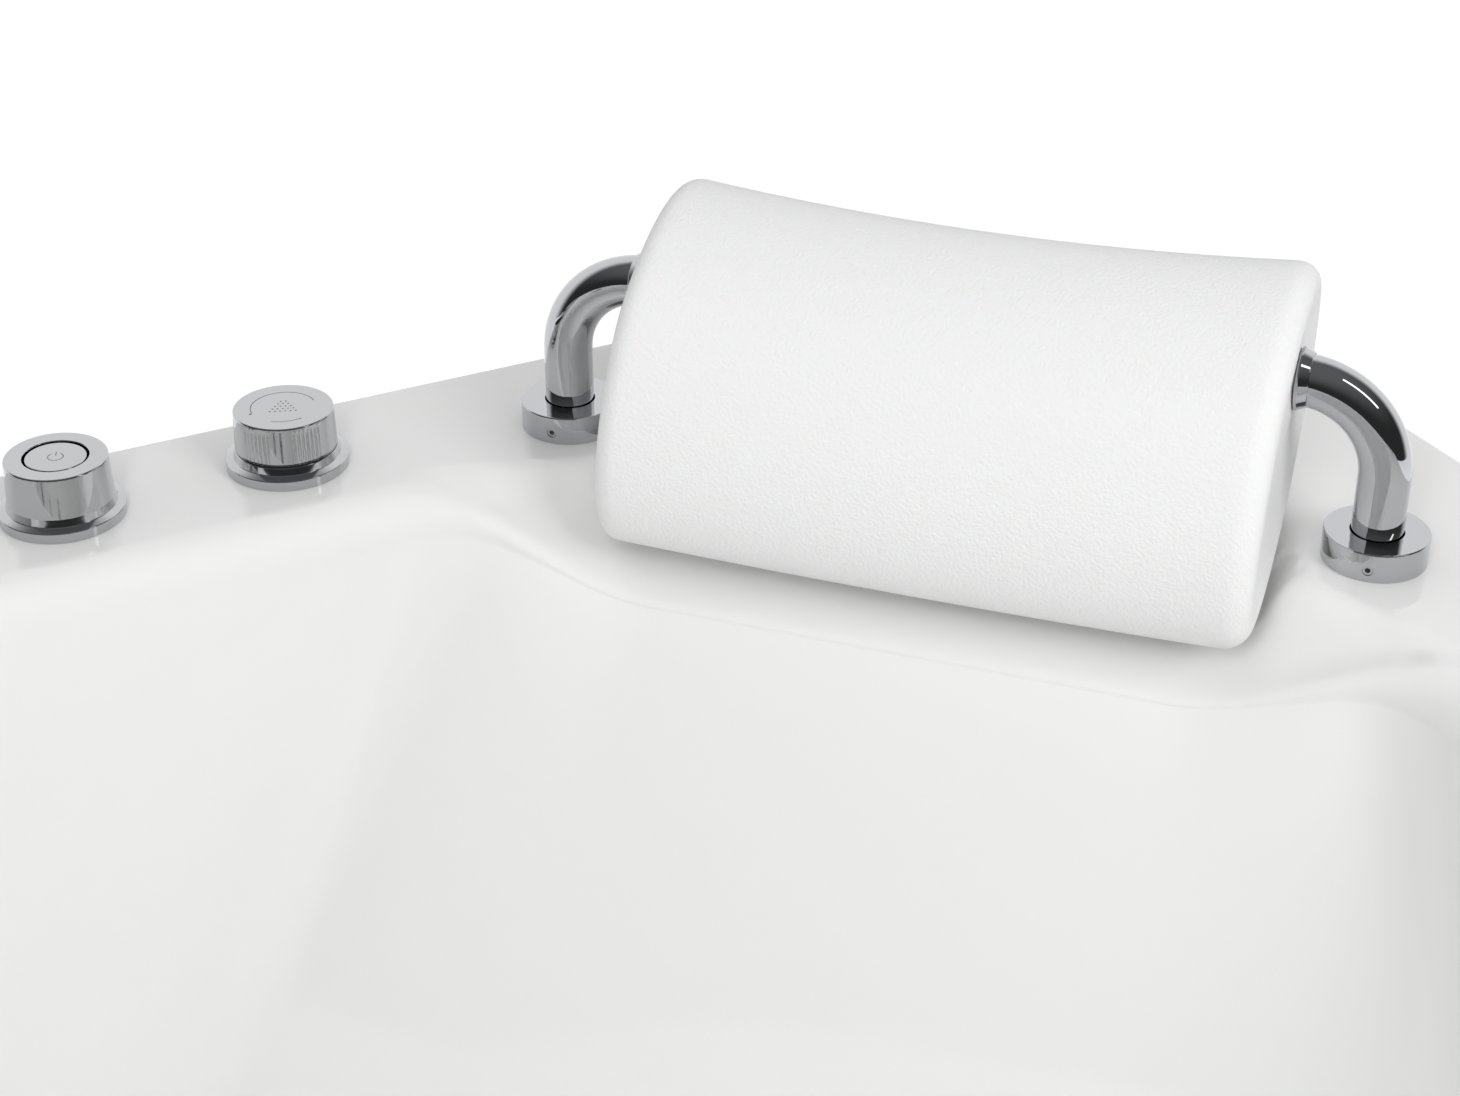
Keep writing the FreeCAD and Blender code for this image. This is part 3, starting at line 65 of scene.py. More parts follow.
HALF_LONG, HALF_WIDE = 0.800, 0.565
NARROW_FRONT = -0.182570
BEND_WIDE, BEND_NARROW = (0.127386, -HALF_WIDE), (-0.120970, NARROW_FRONT)
DECK_CORNERS = [(HALF_LONG, HALF_WIDE), (HALF_LONG, -HALF_WIDE), BEND_WIDE, BEND_NARROW,
                (-HALF_LONG, NARROW_FRONT), (-HALF_LONG, HALF_WIDE)]
DECK_RADII = [0.055, 0.300, 0.410, 0.410, 0.060, 0.055]
DECK_BULGE = 3

HEAD_LEFT = np.array([0.4126, 0.4851])
HEAD_RIGHT = np.array([0.6977, 0.1844])
HEAD_MID = (HEAD_LEFT + HEAD_RIGHT) / 2
HALF_SPAN = np.linalg.norm(HEAD_RIGHT - HEAD_LEFT) / 2
ALONG = (HEAD_RIGHT - HEAD_LEFT) / (2 * HALF_SPAN)
FORWARD = np.array([ALONG[1], -ALONG[0]])


def on_diagonal(forward, back_y, side_x):
    """Where the line parallel to the headrest, forward of it, meets the back side and the wide end."""
    base = HEAD_MID + FORWARD * forward
    return (tuple(base + ALONG * (back_y - base[1]) / ALONG[1]),
            tuple(base + ALONG * (side_x - base[0]) / ALONG[0]))


# The basin's rim stands one front deck width inside the deck's front. Its floor is smaller all
# round, most of all at the leaning end under the headrest.
FRONT_DECK = 0.145
SHIFT = FRONT_DECK * math.tan(math.radians(28.5))
RIM_BACK, RIM_END, RIM_FOOT = 0.447, 0.655, -0.682
FLOOR_BACK, FLOOR_END, FLOOR_FOOT = 0.385, 0.590, -0.560
RIM_CORNERS = [*on_diagonal(0.077, RIM_BACK, RIM_END),
               (RIM_END, FRONT_DECK - HALF_WIDE),
               (BEND_WIDE[0] + SHIFT, FRONT_DECK - HALF_WIDE),
               (BEND_NARROW[0] + SHIFT, NARROW_FRONT + FRONT_DECK),
               (RIM_FOOT, NARROW_FRONT + FRONT_DECK),
               (RIM_FOOT, RIM_BACK)]
FLOOR_CORNERS = [*on_diagonal(0.320, FLOOR_BACK, FLOOR_END),
                 (FLOOR_END, -0.355), (0.168, -0.355), (-0.078775, 0.025),
                 (FLOOR_FOOT, 0.025), (FLOOR_FOOT, FLOOR_BACK)]
BASIN_RADII = [0.070, 0.070, 0.155, 0.265, 0.555, 0.130, 0.130]
# The one corner that bends the other way, inwards, as the deck's DECK_BULGE does.
BASIN_BULGE = 4
# Steps in each corner's arc, and in the straight side after it.
ARC_STEPS = [26, 26, 34, 38, 44, 28, 28]
SIDE_STEPS = [84, 14, 4, 2, 8, 6, 34]


def grown(corners, grow):
    """Corners of a clockwise polygon after every side has moved outwards by grow: each new corner
    is where the two moved sides meet."""
    p = np.asarray(corners, float)
    along = np.roll(p, -1, 0) - p
    along /= np.linalg.norm(along, axis=1)[:, None]
    out = np.column_stack([-along[:, 1], along[:, 0]])
    base = p + out * grow
    u, v = np.roll(along, 1, 0), along
    start = np.roll(base, 1, 0)
    cross = u[:, 0] * v[:, 1] - u[:, 1] * v[:, 0]
    gap = base - start
    step = (gap[:, 0] * v[:, 1] - gap[:, 1] * v[:, 0]) / cross
    return start + u * step[:, None]


def outline(corners, radii, arc_steps, side_steps):
    """Points round a rounded polygon: an arc at each corner, centre plus the turned spoke, then the
    straight side that follows it, shared out evenly."""
    p = np.asarray(corners, float)
    before = np.roll(p, 1, 0) - p
    after = np.roll(p, -1, 0) - p
    before /= np.linalg.norm(before, axis=1)[:, None]
    after /= np.linalg.norm(after, axis=1)[:, None]
    half_turn = (np.pi - np.arccos(np.clip((before * after).sum(1), -1, 1))) / 2
    radius = np.asarray(radii, float)
    tangent = (radius * np.tan(half_turn))[:, None]
    middle = before + after
    middle /= np.linalg.norm(middle, axis=1)[:, None]
    centre = p + middle * (radius / np.cos(half_turn))[:, None]
    first, last = p + before * tangent, p + after * tangent
    rows = []
    for i in range(len(p)):
        a, b = first[i] - centre[i], last[i] - centre[i]
        turn = math.atan2(a[0] * b[1] - a[1] * b[0], a @ b)
        t = np.linspace(0, turn, arc_steps[i] + 1)
        c, s = np.cos(t), np.sin(t)
        rows.append(centre[i] + np.column_stack([a[0] * c - a[1] * s, a[0] * s + a[1] * c]))
        share = np.linspace(0, 1, side_steps[i] + 1)[1:-1, None]
        rows.append(last[i] + (first[(i + 1) % len(p)] - last[i]) * share)
    return np.vstack(rows)


def basin_row(depth, grow):
    """Outline of the basin at a depth, moved out by grow: the straight run from rim to floor."""
    share = depth / BASIN
    corners = np.asarray(RIM_CORNERS) * (1 - share) + np.asarray(FLOOR_CORNERS) * share
    radii = np.asarray(BASIN_RADII) + grow
    radii[BASIN_BULGE] -= 2 * grow
    return outline(grown(corners, grow), radii, ARC_STEPS, SIDE_STEPS)


def deck_row(grow, keys):
    """Outline of the deck moved out by grow, shared out so that point keys[i][0] of the basin
    outline faces the deck point at keys[i][1]."""
    radii = np.asarray(DECK_RADII) + grow
    radii[DECK_BULGE] -= 2 * grow
    line = outline(grown(DECK_CORNERS, grow), radii, [40] * 6, [60] * 6)
    line = np.vstack([line, line[:1]])
    length = np.concatenate([[0], np.cumsum(np.linalg.norm(np.diff(line, axis=0), axis=1))])
    total = length[-1]
    nearest = [np.argmin(np.linalg.norm(line[:-1] - np.asarray(place), axis=1)) for _, place in keys]
    index = np.array([first for first, _ in keys], float)
    reach = np.unwrap(length[nearest], period=total)
    count = sum(ARC_STEPS) + sum(SIDE_STEPS)
    index, reach = np.append(index, index[0] + count), np.append(reach, reach[0] + total)
    at = np.interp(np.arange(count), index, reach) % total
    return np.column_stack([np.interp(at, length, line[:, k]) for k in (0, 1)])


def lifted(xy, z):
    """Flat points raised to height z."""
    return np.column_stack([xy, np.broadcast_to(z, len(xy))])


def piece(name, points, faces, closed=True):
    """A smooth mesh object at the origin. In a closed one, points that meet are merged and the faces
    turned outwards."""
    mesh = bpy.data.meshes.new(name)
    mesh.from_pydata(np.asarray(points, float).tolist(), [], [list(face) for face in faces])
    if closed:
        work = bmesh.new()
        work.from_mesh(mesh)
        bmesh.ops.remove_doubles(work, verts=work.verts, dist=1e-6)
        bmesh.ops.recalc_face_normals(work, faces=work.faces)
        work.to_mesh(mesh)
        work.free()
    mesh.polygons.foreach_set("use_smooth", [True] * len(mesh.polygons))
    mesh.update()
    obj = bpy.data.objects.new(name, mesh)
    bpy.context.scene.collection.objects.link(obj)
    return obj


def quads(rows, columns, closed=True):
    """Faces of a grid whose points run along a row first. A closed grid joins its last column to
    its first."""
    r = np.arange(rows - 1)[:, None] * columns
    c = np.arange(columns if closed else columns - 1)[None, :]
    n = (c + 1) % columns
    return np.stack([r + c, r + n, r + columns + n, r + columns + c], -1).reshape(-1, 4)


def linear(code):
    """sRGB hex to linear colour with alpha 1."""
    rgb = np.array([int(code[i:i + 2], 16) for i in (0, 2, 4)]) / 255
    low, high = rgb / 12.92, ((rgb + 0.055) / 1.055) ** 2.4
    return (*np.where(rgb <= 0.04045, low, high).tolist(), 1.0)


def add(tree, kind, links=(), **values):
    """A node with its settings and sockets. links are (input name, node, output name)."""
    made = tree.nodes.new(kind)
    for key, value in values.items():
        if key in made.inputs:
            made.inputs[key].default_value = value
        else:
            setattr(made, key, value)
    for socket, source, output in links:
        tree.links.new(source.outputs[output], made.inputs[socket])
    return made


def finish(name, **sockets):
    """A material of one Principled shader with these sockets. Returns it, its tree and shader."""
    material = bpy.data.materials.new(name)
    material.use_nodes = True
    shader = material.node_tree.nodes["Principled BSDF"]
    for key, value in sockets.items():
        shader.inputs[key.replace("_", " ")].default_value = value
    return material, material.node_tree, shader


def bumped(tree, shader, pattern, output, height, strength=1.0):
    """Bump from a pattern whose full swing is height metres."""
    bump = add(tree, "ShaderNodeBump", [("Height", pattern, output)], Strength=strength, Distance=height)
    tree.links.new(bump.outputs["Normal"], shader.inputs["Normal"])


# Cast acrylic sheet, vacuum formed: hard and glossy, with a faint waviness about 90 mm from
# crest to crest that bends what it mirrors.
acrylic, tree, shader = finish("formed_acrylic", Base_Color=linear("F1F1F0"), Roughness=0.045, IOR=1.49)
place = add(tree, "ShaderNodeTexCoord")
wave = add(tree, "ShaderNodeTexNoise", [("Vector", place, "Object")], Scale=11.0, Detail=1.0)
bumped(tree, shader, wave, "Fac", 0.0005)

# Chopped strand mat in polyester resin, rolled on by hand: cream patches about 6 mm across with
# darker strands 2 mm wide between them, under a rough, half glossy skin.
backing, tree, shader = finish("glass_fibre_backing", IOR=1.55)
place = add(tree, "ShaderNodeTexCoord")
bent = add(tree, "ShaderNodeTexNoise", [("Vector", place, "Object")], Scale=70.0, Detail=1.0)
shifted = add(tree, "ShaderNodeVectorMath", [(0, bent, "Color")], operation="SCALE", Scale=0.02)
warped = add(tree, "ShaderNodeVectorMath", [(0, place, "Object"), (1, shifted, "Vector")], operation="ADD")
strands = add(tree, "ShaderNodeTexVoronoi", [("Vector", warped, "Vector")],
              feature="DISTANCE_TO_EDGE", Scale=160.0)
cream = add(tree, "ShaderNodeValToRGB", [("Fac", strands, "Distance")])
cream.color_ramp.elements[0].color = linear("CFC8B2")
cream.color_ramp.elements[1].color = linear("E9E4D6")
cream.color_ramp.elements[1].position = 0.35
sheen = add(tree, "ShaderNodeMapRange", [("Value", bent, "Fac")])
sheen.inputs["To Min"].default_value, sheen.inputs["To Max"].default_value = 0.35, 0.65
tree.links.new(cream.outputs["Color"], shader.inputs["Base Color"])
tree.links.new(sheen.outputs["Result"], shader.inputs["Roughness"])
bumped(tree, shader, strands, "Distance", 0.0012)

# The hollow's sizes are measured forward from the rail and along it.
DIP_START, DIP_DEPTH, DIP_REACH = -0.024, 0.034, 0.024
SLOPE_START, SLOPE_DEPTH, SLOPE_REACH = 0.050, 0.020, 0.060
SLOPE_END, SLOPE_FADE = 0.18, 0.17
SIDE_START, SIDE_RUN = 0.027, 0.050
FULL_HALF, FULL_LOSS = 0.152, 0.022
GONE_HALF, GONE_GAIN = 0.180, 0.085
PRESS_FROM, PRESS_FADE = 0.10, 0.22
PRESS_POWER = 2.5


def smooth(x):
    """Rises from 0 to 1 with level ends: three times the square less twice the cube."""
    x = np.clip(x, 0, 1)
    return x * x * (3 - 2 * x)


def ramp(x, soft):
    """Nothing below zero and x above it, with a corner of width soft."""
    return soft * np.log1p(np.exp(np.clip(x / soft, -40, 40)))


def dip(xy):
    """Depth of the hollow under the pillow. Across the headrest it falls away behind the rail, levels
    out under the pillow, slopes on down the basin's wall and ends there. Along it, it fades out past
    both ends."""
    along = np.abs((xy - HEAD_MID) @ ALONG)
    forward = (xy - HEAD_MID) @ FORWARD
    depth = DIP_DEPTH * (1 - np.exp(-ramp(forward - DIP_START, 0.004) / DIP_REACH))
    depth += SLOPE_DEPTH * (1 - np.exp(-ramp(forward - SLOPE_START, 0.012) / SLOPE_REACH))
    open_side = smooth((forward - SIDE_START) / SIDE_RUN)
    full = FULL_HALF - FULL_LOSS * open_side
    gone = GONE_HALF + GONE_GAIN * open_side
    ends = 1 - smooth((along - full) / (gone - full))
    return depth * ends * (1 - smooth((forward - SLOPE_END) / SLOPE_FADE))


def sunk(points):
    """Points of the shell with the dip pressed in: the drop below the deck becomes the 2.5th root of
    the sum of the old drop and the dip, each to the power 2.5, so they meet in one soft bend."""
    drop = np.clip(DECK - points[:, 2], 0, None)
    pressed = dip(points[:, :2]) * (1 - smooth((drop - PRESS_FROM) / PRESS_FADE))
    out = points.copy()
    out[:, 2] -= (drop ** PRESS_POWER + pressed ** PRESS_POWER) ** (1 / PRESS_POWER) - drop
    return out


inner = basin_row(ROLL, ROLL)
count = len(inner)
starts = np.concatenate([[0], np.cumsum(np.array(ARC_STEPS) + np.array(SIDE_STEPS))])
mid = [int(starts[i] + ARC_STEPS[i] / 2) for i in range(len(ARC_STEPS))]
diagonal_mid = int(starts[0] + ARC_STEPS[0] + SIDE_STEPS[0] / 2)
# Which point of the basin's outline faces which place on the deck's edge.
keys = [(mid[0], (inner[mid[0], 0] - 0.02, HALF_WIDE)), (diagonal_mid, (0.784, 0.549)),
        (mid[1], (HALF_LONG, inner[mid[1], 1] - 0.02)),
        (mid[2], (0.712, -0.477)), (mid[3], (0.127, -0.50)), (mid[4], (-0.121, -0.24)),
        (mid[5], (-0.782, -0.165)), (mid[6], (-0.784, 0.549))]
rows = []
for z in (DECK - LIP, DECK - LIP + 0.002, DECK - LIP_ROUND - 0.002):
    rows.append(lifted(deck_row(0.0, keys), z))
for t in np.linspace(0, np.pi / 2, 6):
    rows.append(lifted(deck_row(-LIP_ROUND * (1 - np.cos(t)), keys), DECK - LIP_ROUND * (1 - np.sin(t))))
edge = deck_row(-LIP_ROUND, keys)
for share in np.concatenate([[0.02, 0.2, 0.36], np.linspace(0.48, 0.99, 22)]):
    rows.append(lifted(edge + (inner - edge) * share, DECK))
for t in np.linspace(0, np.pi / 2, 13):
    rows.append(lifted(basin_row(ROLL, ROLL * (1 - np.sin(t))), DECK - ROLL * (1 - np.cos(t))))
for depth in np.concatenate([np.linspace(0.0235, 0.085, 15), np.linspace(0.092, WALL_FOOT - 0.004, 20)]):
    rows.append(lifted(basin_row(depth, 0.0), DECK - depth))
for t in np.linspace(0, np.pi / 2, 12):
    drawn_in = basin_row(WALL_FOOT, -FILLET * (1 - np.cos(t)))
    rows.append(lifted(drawn_in, DECK - WALL_FOOT - FILLET * np.sin(t)))

# The floor closes the innermost outline, with a round hole for the waste.
WASTE = np.array([-0.440, 0.203])
WASTE_R, WASTE_STEPS = 0.026, 48
points = sunk(np.vstack(rows))
faces = quads(len(rows), count)[:, ::-1].tolist()
t = np.linspace(0, 2 * np.pi, WASTE_STEPS, endpoint=False)
waste_edge = WASTE + WASTE_R * np.column_stack([np.cos(t), np.sin(t)])
flat = delaunay_2d_cdt(points[-count:, :2].tolist() + waste_edge.tolist(),
                       [(count + k, count + (k + 1) % WASTE_STEPS) for k in range(WASTE_STEPS)],
                       [list(range(count))], 1, 1e-9)
points = np.vstack([points, lifted(waste_edge, DECK - BASIN)])
floor_start = len(points) - count - WASTE_STEPS
for triangle in flat[2]:
    corners = [flat[3][k][0] for k in triangle]
    if min(corners) < count:
        faces.append([floor_start + k for k in corners])
shell = piece("tub_surface", points, faces, closed=False)
shell.data.materials.append(acrylic)
shell.data.materials.append(backing)
skin = shell.modifiers.new("skin", "SOLIDIFY")
skin.thickness = SKIN
skin.offset = -1.0
skin.material_offset = 1
skin.material_offset_rim = 1


def settled(obj):
    """The object with its modifiers applied to its mesh."""
    result = bpy.data.meshes.new_from_object(obj.evaluated_get(bpy.context.evaluated_depsgraph_get()))
    result.name = obj.name
    obj.modifiers.clear()
    obj.data = result


def bar(radius, length, centre, axis, steps=48):
    """Closed round bar, half its length each side of centre."""
    axis = np.asarray(axis, float) / np.linalg.norm(axis)
    side = np.cross(axis, (0.0, 0.0, 1.0) if abs(axis[2]) < 0.9 else (1.0, 0.0, 0.0))
    side /= np.linalg.norm(side)
    up = np.cross(axis, side)
    t = np.linspace(0, 2 * np.pi, steps, endpoint=False)
    ring = np.asarray(centre) + radius * (np.cos(t)[:, None] * side + np.sin(t)[:, None] * up)
    both = np.vstack([ring - axis * length / 2, ring + axis * length / 2])
    ends = [list(range(steps))[::-1], list(range(steps, 2 * steps))]
    return piece("drill", both, quads(2, steps).tolist() + ends)


def drilled(obj, drills):
    """The object with closed bars cut out of it."""
    for drill in drills:
        cut = obj.modifiers.new("hole", "BOOLEAN")
        cut.operation, cut.solver, cut.object = "DIFFERENCE", "MANIFOLD", drill
    settled(obj)
    for drill in drills:
        bpy.data.objects.remove(drill)


settled(shell)
JET_HOLE_R, SUCTION_HOLE_R = 0.025, 0.031
DRILL_LENGTH, SUCTION_DRILL_LENGTH = 0.05, 0.06
drills = []
for joint in frame["joints"]:
    if joint["name"].startswith("nozzle_"):
        tilt = joint["axis"]
        drills.append(bar(JET_HOLE_R, DRILL_LENGTH, joint["pos_m"], (tilt[1], -tilt[0], 0)))
    if joint["name"] == "overflow_turn":
        drills.append(bar(JET_HOLE_R, DRILL_LENGTH, joint["pos_m"], joint["axis"]))
low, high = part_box("suction_cover")
middle = [(low[k] + high[k]) / 2 for k in range(3)]
drills.append(bar(SUCTION_HOLE_R, SUCTION_DRILL_LENGTH, middle, (0, 1, 0)))
drilled(shell, drills)
shell.data.set_sharp_from_angle(angle=math.radians(40))
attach(shell, "bath")
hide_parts("tub_shell")

# ------------------------------------------------------------------ headrest pillow
# A moulded block of self-skinned polyurethane foam, threaded on the rail. Its section is a
# fat oval, a little bigger towards both ends, and its rim is rounded over.

PILLOW_LONG, PILLOW_SHORT, PILLOW_TILT = 0.094, 0.052, math.radians(-45.3)
PILLOW_FORWARD, PILLOW_RISE = 0.01145, 0.04728
PILLOW_HALF = 0.1624
PILLOW_RIM = 0.0128
PILLOW_FLARE, PILLOW_LIFT, PILLOW_DROOP = 0.003, 0.005, -0.0013
PILLOW_POWER = 1.7
RAIL_RISE = 0.0875
RAIL_R = 0.0125


def pillow_ring(along, inset, steps):
    """One ring of the pillow: a superellipse whose axes and place change with the square of the
    distance from mid length, drawn in by inset."""
    share = (along / PILLOW_HALF) ** 2
    t = np.linspace(0, 2 * np.pi, steps, endpoint=False)
    c, s = np.cos(t), np.sin(t)
    u = (PILLOW_LONG + PILLOW_FLARE * share - inset) * np.sign(c) * np.abs(c) ** (2 / PILLOW_POWER)
    w = (PILLOW_SHORT + PILLOW_FLARE * share - inset) * np.sign(s) * np.abs(s) ** (2 / PILLOW_POWER)
    q = PILLOW_FORWARD + PILLOW_DROOP * share + u * math.cos(PILLOW_TILT) - w * math.sin(PILLOW_TILT)
    z = PILLOW_RISE + PILLOW_LIFT * share + u * math.sin(PILLOW_TILT) + w * math.cos(PILLOW_TILT)
    xy = HEAD_MID + ALONG * along + FORWARD * q[:, None]
    return np.column_stack([xy, DECK + z])


def end_ring(side, share, steps):
    """Ring across an end face, share of the way from the rim to the rail, slightly dished."""
    rim = pillow_ring(side * PILLOW_HALF, PILLOW_RIM, steps)
    hub = np.array([*(HEAD_MID + ALONG * side * PILLOW_HALF), DECK + RAIL_RISE])
    spoke = rim - hub
    size = np.linalg.norm(spoke, axis=1)[:, None]
    reach = size + (RAIL_R - size) * share
    inward = -side * np.array([*ALONG, 0.0]) * 0.0025 * smooth(share * 3) * (1 - smooth((share - 0.8) * 5))
    return hub + spoke / size * reach + inward


def rim_ring(side, t, steps):
    """Ring of the rounded rim at an end: t runs from the end face to the pillow's side."""
    along = side * (PILLOW_HALF - PILLOW_RIM * (1 - math.cos(t)))
    return pillow_ring(along, PILLOW_RIM * (1 - math.sin(t)), steps)


PILLOW_STEPS = 192
FACE_SHARES = (1.0, 0.9, 0.75, 0.5, 0.25, 0.08)
straight = PILLOW_HALF - PILLOW_RIM
rings = [end_ring(-1, share, PILLOW_STEPS) for share in FACE_SHARES]
rings += [rim_ring(-1, t, PILLOW_STEPS) for t in np.linspace(0, np.pi / 2, 10)]
rings += [pillow_ring(along, 0.0, PILLOW_STEPS) for along in np.linspace(-straight, straight, 60)[1:-1]]
rings += [rim_ring(1, t, PILLOW_STEPS) for t in np.linspace(np.pi / 2, 0, 10)]
rings += [end_ring(1, share, PILLOW_STEPS) for share in FACE_SHARES[::-1]]
faces = quads(len(rings) + 1, PILLOW_STEPS) % (len(rings) * PILLOW_STEPS)
pillow = piece("pillow_foam", np.vstack(rings), faces)

# Self-skinned foam, moulded in a blasted tool: a dry white with grains about 1.6 mm across.
foam, tree, shader = finish("foam_skin", Base_Color=linear("F4F4F4"), Roughness=0.62, IOR=1.45,
                            Subsurface_Weight=0.06, Subsurface_Scale=0.004)
place = add(tree, "ShaderNodeTexCoord")
grain = add(tree, "ShaderNodeTexNoise", [("Vector", place, "Object")], Scale=620.0, Detail=1.0, Roughness=0.5)
bumped(tree, shader, grain, "Fac", 0.00042)
pillow.data.materials.append(foam)
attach(pillow, "bath")
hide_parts("headrest_pillow")

# ------------------------------------------------------------------ headrest rail
# One 25 mm stainless tube, bent down at both ends into the roses, and chrome plated.

RAIL_BEND = 0.044
ROSE_R = 0.02535
ROSE_H = 0.0149


def swept(path, radius, steps):
    """Grid of a round bar on a flat path: each ring is turned about the headrest's own level normal,
    so it never twists."""
    tangent = np.gradient(path, axis=0)
    tangent /= np.linalg.norm(tangent, axis=1)[:, None]
    side = np.array([*FORWARD, 0.0])
    up = np.cross(tangent, side)
    t = np.linspace(0, 2 * np.pi, steps, endpoint=False)
    ring = side[None, None] * np.cos(t)[None, :, None] + up[:, None] * np.sin(t)[None, :, None]
    return (path[:, None] + radius * ring).reshape(-1, 3)


def rail_path():
    """Up from the left foot, a quarter turn, straight across, a quarter turn and down."""
    reach = HALF_SPAN - RAIL_BEND
    t = np.linspace(0, np.pi / 2, 25)
    straight = np.linspace(-reach, reach, 12)[1:-1]
    along = np.concatenate([[-HALF_SPAN] * 3, -reach - RAIL_BEND * np.cos(t[1:]), straight,
                            reach + RAIL_BEND * np.sin(t), [HALF_SPAN] * 2])
    top = RAIL_RISE - RAIL_BEND
    rise = np.concatenate([[0.004, 0.02, top], top + RAIL_BEND * np.sin(t[1:]), [RAIL_RISE] * len(straight),
                           top + RAIL_BEND * np.cos(t), [0.02, 0.004]])
    return np.column_stack([HEAD_MID + ALONG * along[:, None], DECK + rise])


path = rail_path()
RAIL_STEPS = 64
points = swept(path, RAIL_R, RAIL_STEPS)
faces = quads(len(path), RAIL_STEPS).tolist()
faces += [list(range(RAIL_STEPS))[::-1], list(range(len(points) - RAIL_STEPS, len(points)))]
rail = piece("rail_tube", points, faces)

# Polished chrome plate over steel: a clean mirror, with the least softness from buffing.
chrome, tree, shader = finish("polished_chrome", Base_Color=linear("C3C4C7"), Metallic=1.0, Roughness=0.04)
place = add(tree, "ShaderNodeTexCoord")
buffing = add(tree, "ShaderNodeTexNoise", [("Vector", place, "Object")], Scale=60.0, Detail=2.0)
bumped(tree, shader, buffing, "Fac", 0.00006)
rail.data.materials.append(chrome)
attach(rail, "bath")
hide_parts("headrest_rail")

# ------------------------------------------------------------------ roses, collars and set screws
# Turned brass roses cover the deck holes, and conical collars close the pillow's bore. All are
# plated like the rail. A stainless set screw in each rose locks the tube.


def rounded_profile(corners, steps=4):
    """Profile of (radius, height, rounding) corners: each becomes a parabola tangent to its two
    sides, close to an arc of that rounding and cut down where the sides are short."""
    p = np.array([c[:2] for c in corners], float)
    out = [p[0]]
    for i in range(1, len(p) - 1):
        rounding = corners[i][2]
        if rounding <= 0:
            out.append(p[i])
            continue
        before, after = p[i - 1] - p[i], p[i + 1] - p[i]
        before_length, after_length = np.linalg.norm(before), np.linalg.norm(after)
        before, after = before / before_length, after / after_length
        half_turn = (np.pi - math.acos(np.clip(before @ after, -1, 1))) / 2
        cut = min(rounding * math.tan(half_turn), 0.48 * before_length, 0.48 * after_length)
        first, last = p[i] + before * cut, p[i] + after * cut
        t = np.linspace(0, 1, steps + 1)[:, None]
        out.extend((1 - t) ** 2 * first + 2 * t * (1 - t) * p[i] + t ** 2 * last)
    out.append(p[-1])
    return np.array(out)


def frame_of(axis):
    """An axis as a unit vector, and two directions square to it."""
    axis = np.asarray(axis, float) / np.linalg.norm(axis)
    side = np.cross(axis, [0, 0, 1.0])
    side = np.array([1.0, 0, 0]) if np.linalg.norm(side) < 1e-6 else side / np.linalg.norm(side)
    return axis, side, np.cross(axis, side)


def turned(name, profile, base, axis=(0, 0, 1), steps=96, wobble=None):
    """A lathe piece: profile (radius, height) carried round an axis. Ends on the axis close to a
    pole, and a profile that comes back to its start is a ring. wobble(angles, profile) gives what
    is added to each radius, a row for each profile point."""
    axis, side, up = frame_of(axis)
    t = np.linspace(0, 2 * np.pi, steps, endpoint=False)
    r = np.repeat(profile[:, 0][:, None], steps, 1)
    if wobble is not None:
        r = r + wobble(t, profile)
    ring = np.cos(t)[None, :, None] * side + np.sin(t)[None, :, None] * up
    grid = np.asarray(base) + r[:, :, None] * ring + profile[:, 1][:, None, None] * axis
    obj = piece(name, grid.reshape(-1, 3), quads(len(profile), steps))
    obj.modifiers.new("flats", "WEIGHTED_NORMAL").keep_sharp = True
    return obj


def dress(obj, material, body, slot, *nodes):
    """Material, body and the CAD nodes that a piece stands for. The slot argument is not used."""
    obj.data.materials.clear()
    obj.data.materials.append(material)
    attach(obj, body)
    if nodes:
        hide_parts(*nodes)
    return obj


ROSE_BORE = RAIL_R + 0.0004
rose_profile = rounded_profile([(ROSE_BORE, 0.0060, 0), (ROSE_BORE, ROSE_H, 0.0003), (ROSE_R, ROSE_H, 0.0009),
                                (ROSE_R, 0.0, 0.0004), (ROSE_BORE, 0.0, 0), (ROSE_BORE, 0.0060, 0)])
SCREW_RISE, SCREW_R = 0.0062, 0.0026
for word, foot_xy in (("left", HEAD_LEFT), ("right", HEAD_RIGHT)):
    rose = turned("rose_" + word, rose_profile, (*foot_xy, DECK), steps=128)
    rose.modifiers.clear()
    hole = np.array([*(foot_xy + FORWARD * 0.019), DECK + SCREW_RISE])
    drilled(rose, [bar(SCREW_R, 0.016, hole, (*FORWARD, 0.0), 32)])
    rose.data.set_sharp_from_angle(angle=math.radians(50))
    rose.modifiers.new("flats", "WEIGHTED_NORMAL").keep_sharp = True
    dress(rose, chrome, "bath", "chrome", "headrest_roses")

COLLAR_BORE, COLLAR_R, COLLAR_H = RAIL_R + 0.0001, 0.01515, 0.006
collar_profile = rounded_profile([
    (COLLAR_BORE, 0.0, 0), (COLLAR_R, 0.0, 0.0003), (COLLAR_R, 0.0016, 0.0003),
    (0.0132, COLLAR_H, 0.0005), (COLLAR_BORE, COLLAR_H, 0), (COLLAR_BORE, 0.0, 0)])
for word, side in (("left", -1), ("right", 1)):
    centre = (*(HEAD_MID + ALONG * side * PILLOW_HALF), DECK + RAIL_RISE)
    collar = turned("collar_" + word, collar_profile, centre, (*(ALONG * side), 0.0), 96)
    dress(collar, chrome, "bath", "chrome", "pillow_collars")

# ------------------------------------------------------------------ controls on the deck
# Two plated ABS controls stand on the back deck: a push button that starts the pump through
# an air tube, and a ribbed knob that lets more or less air into the jets.

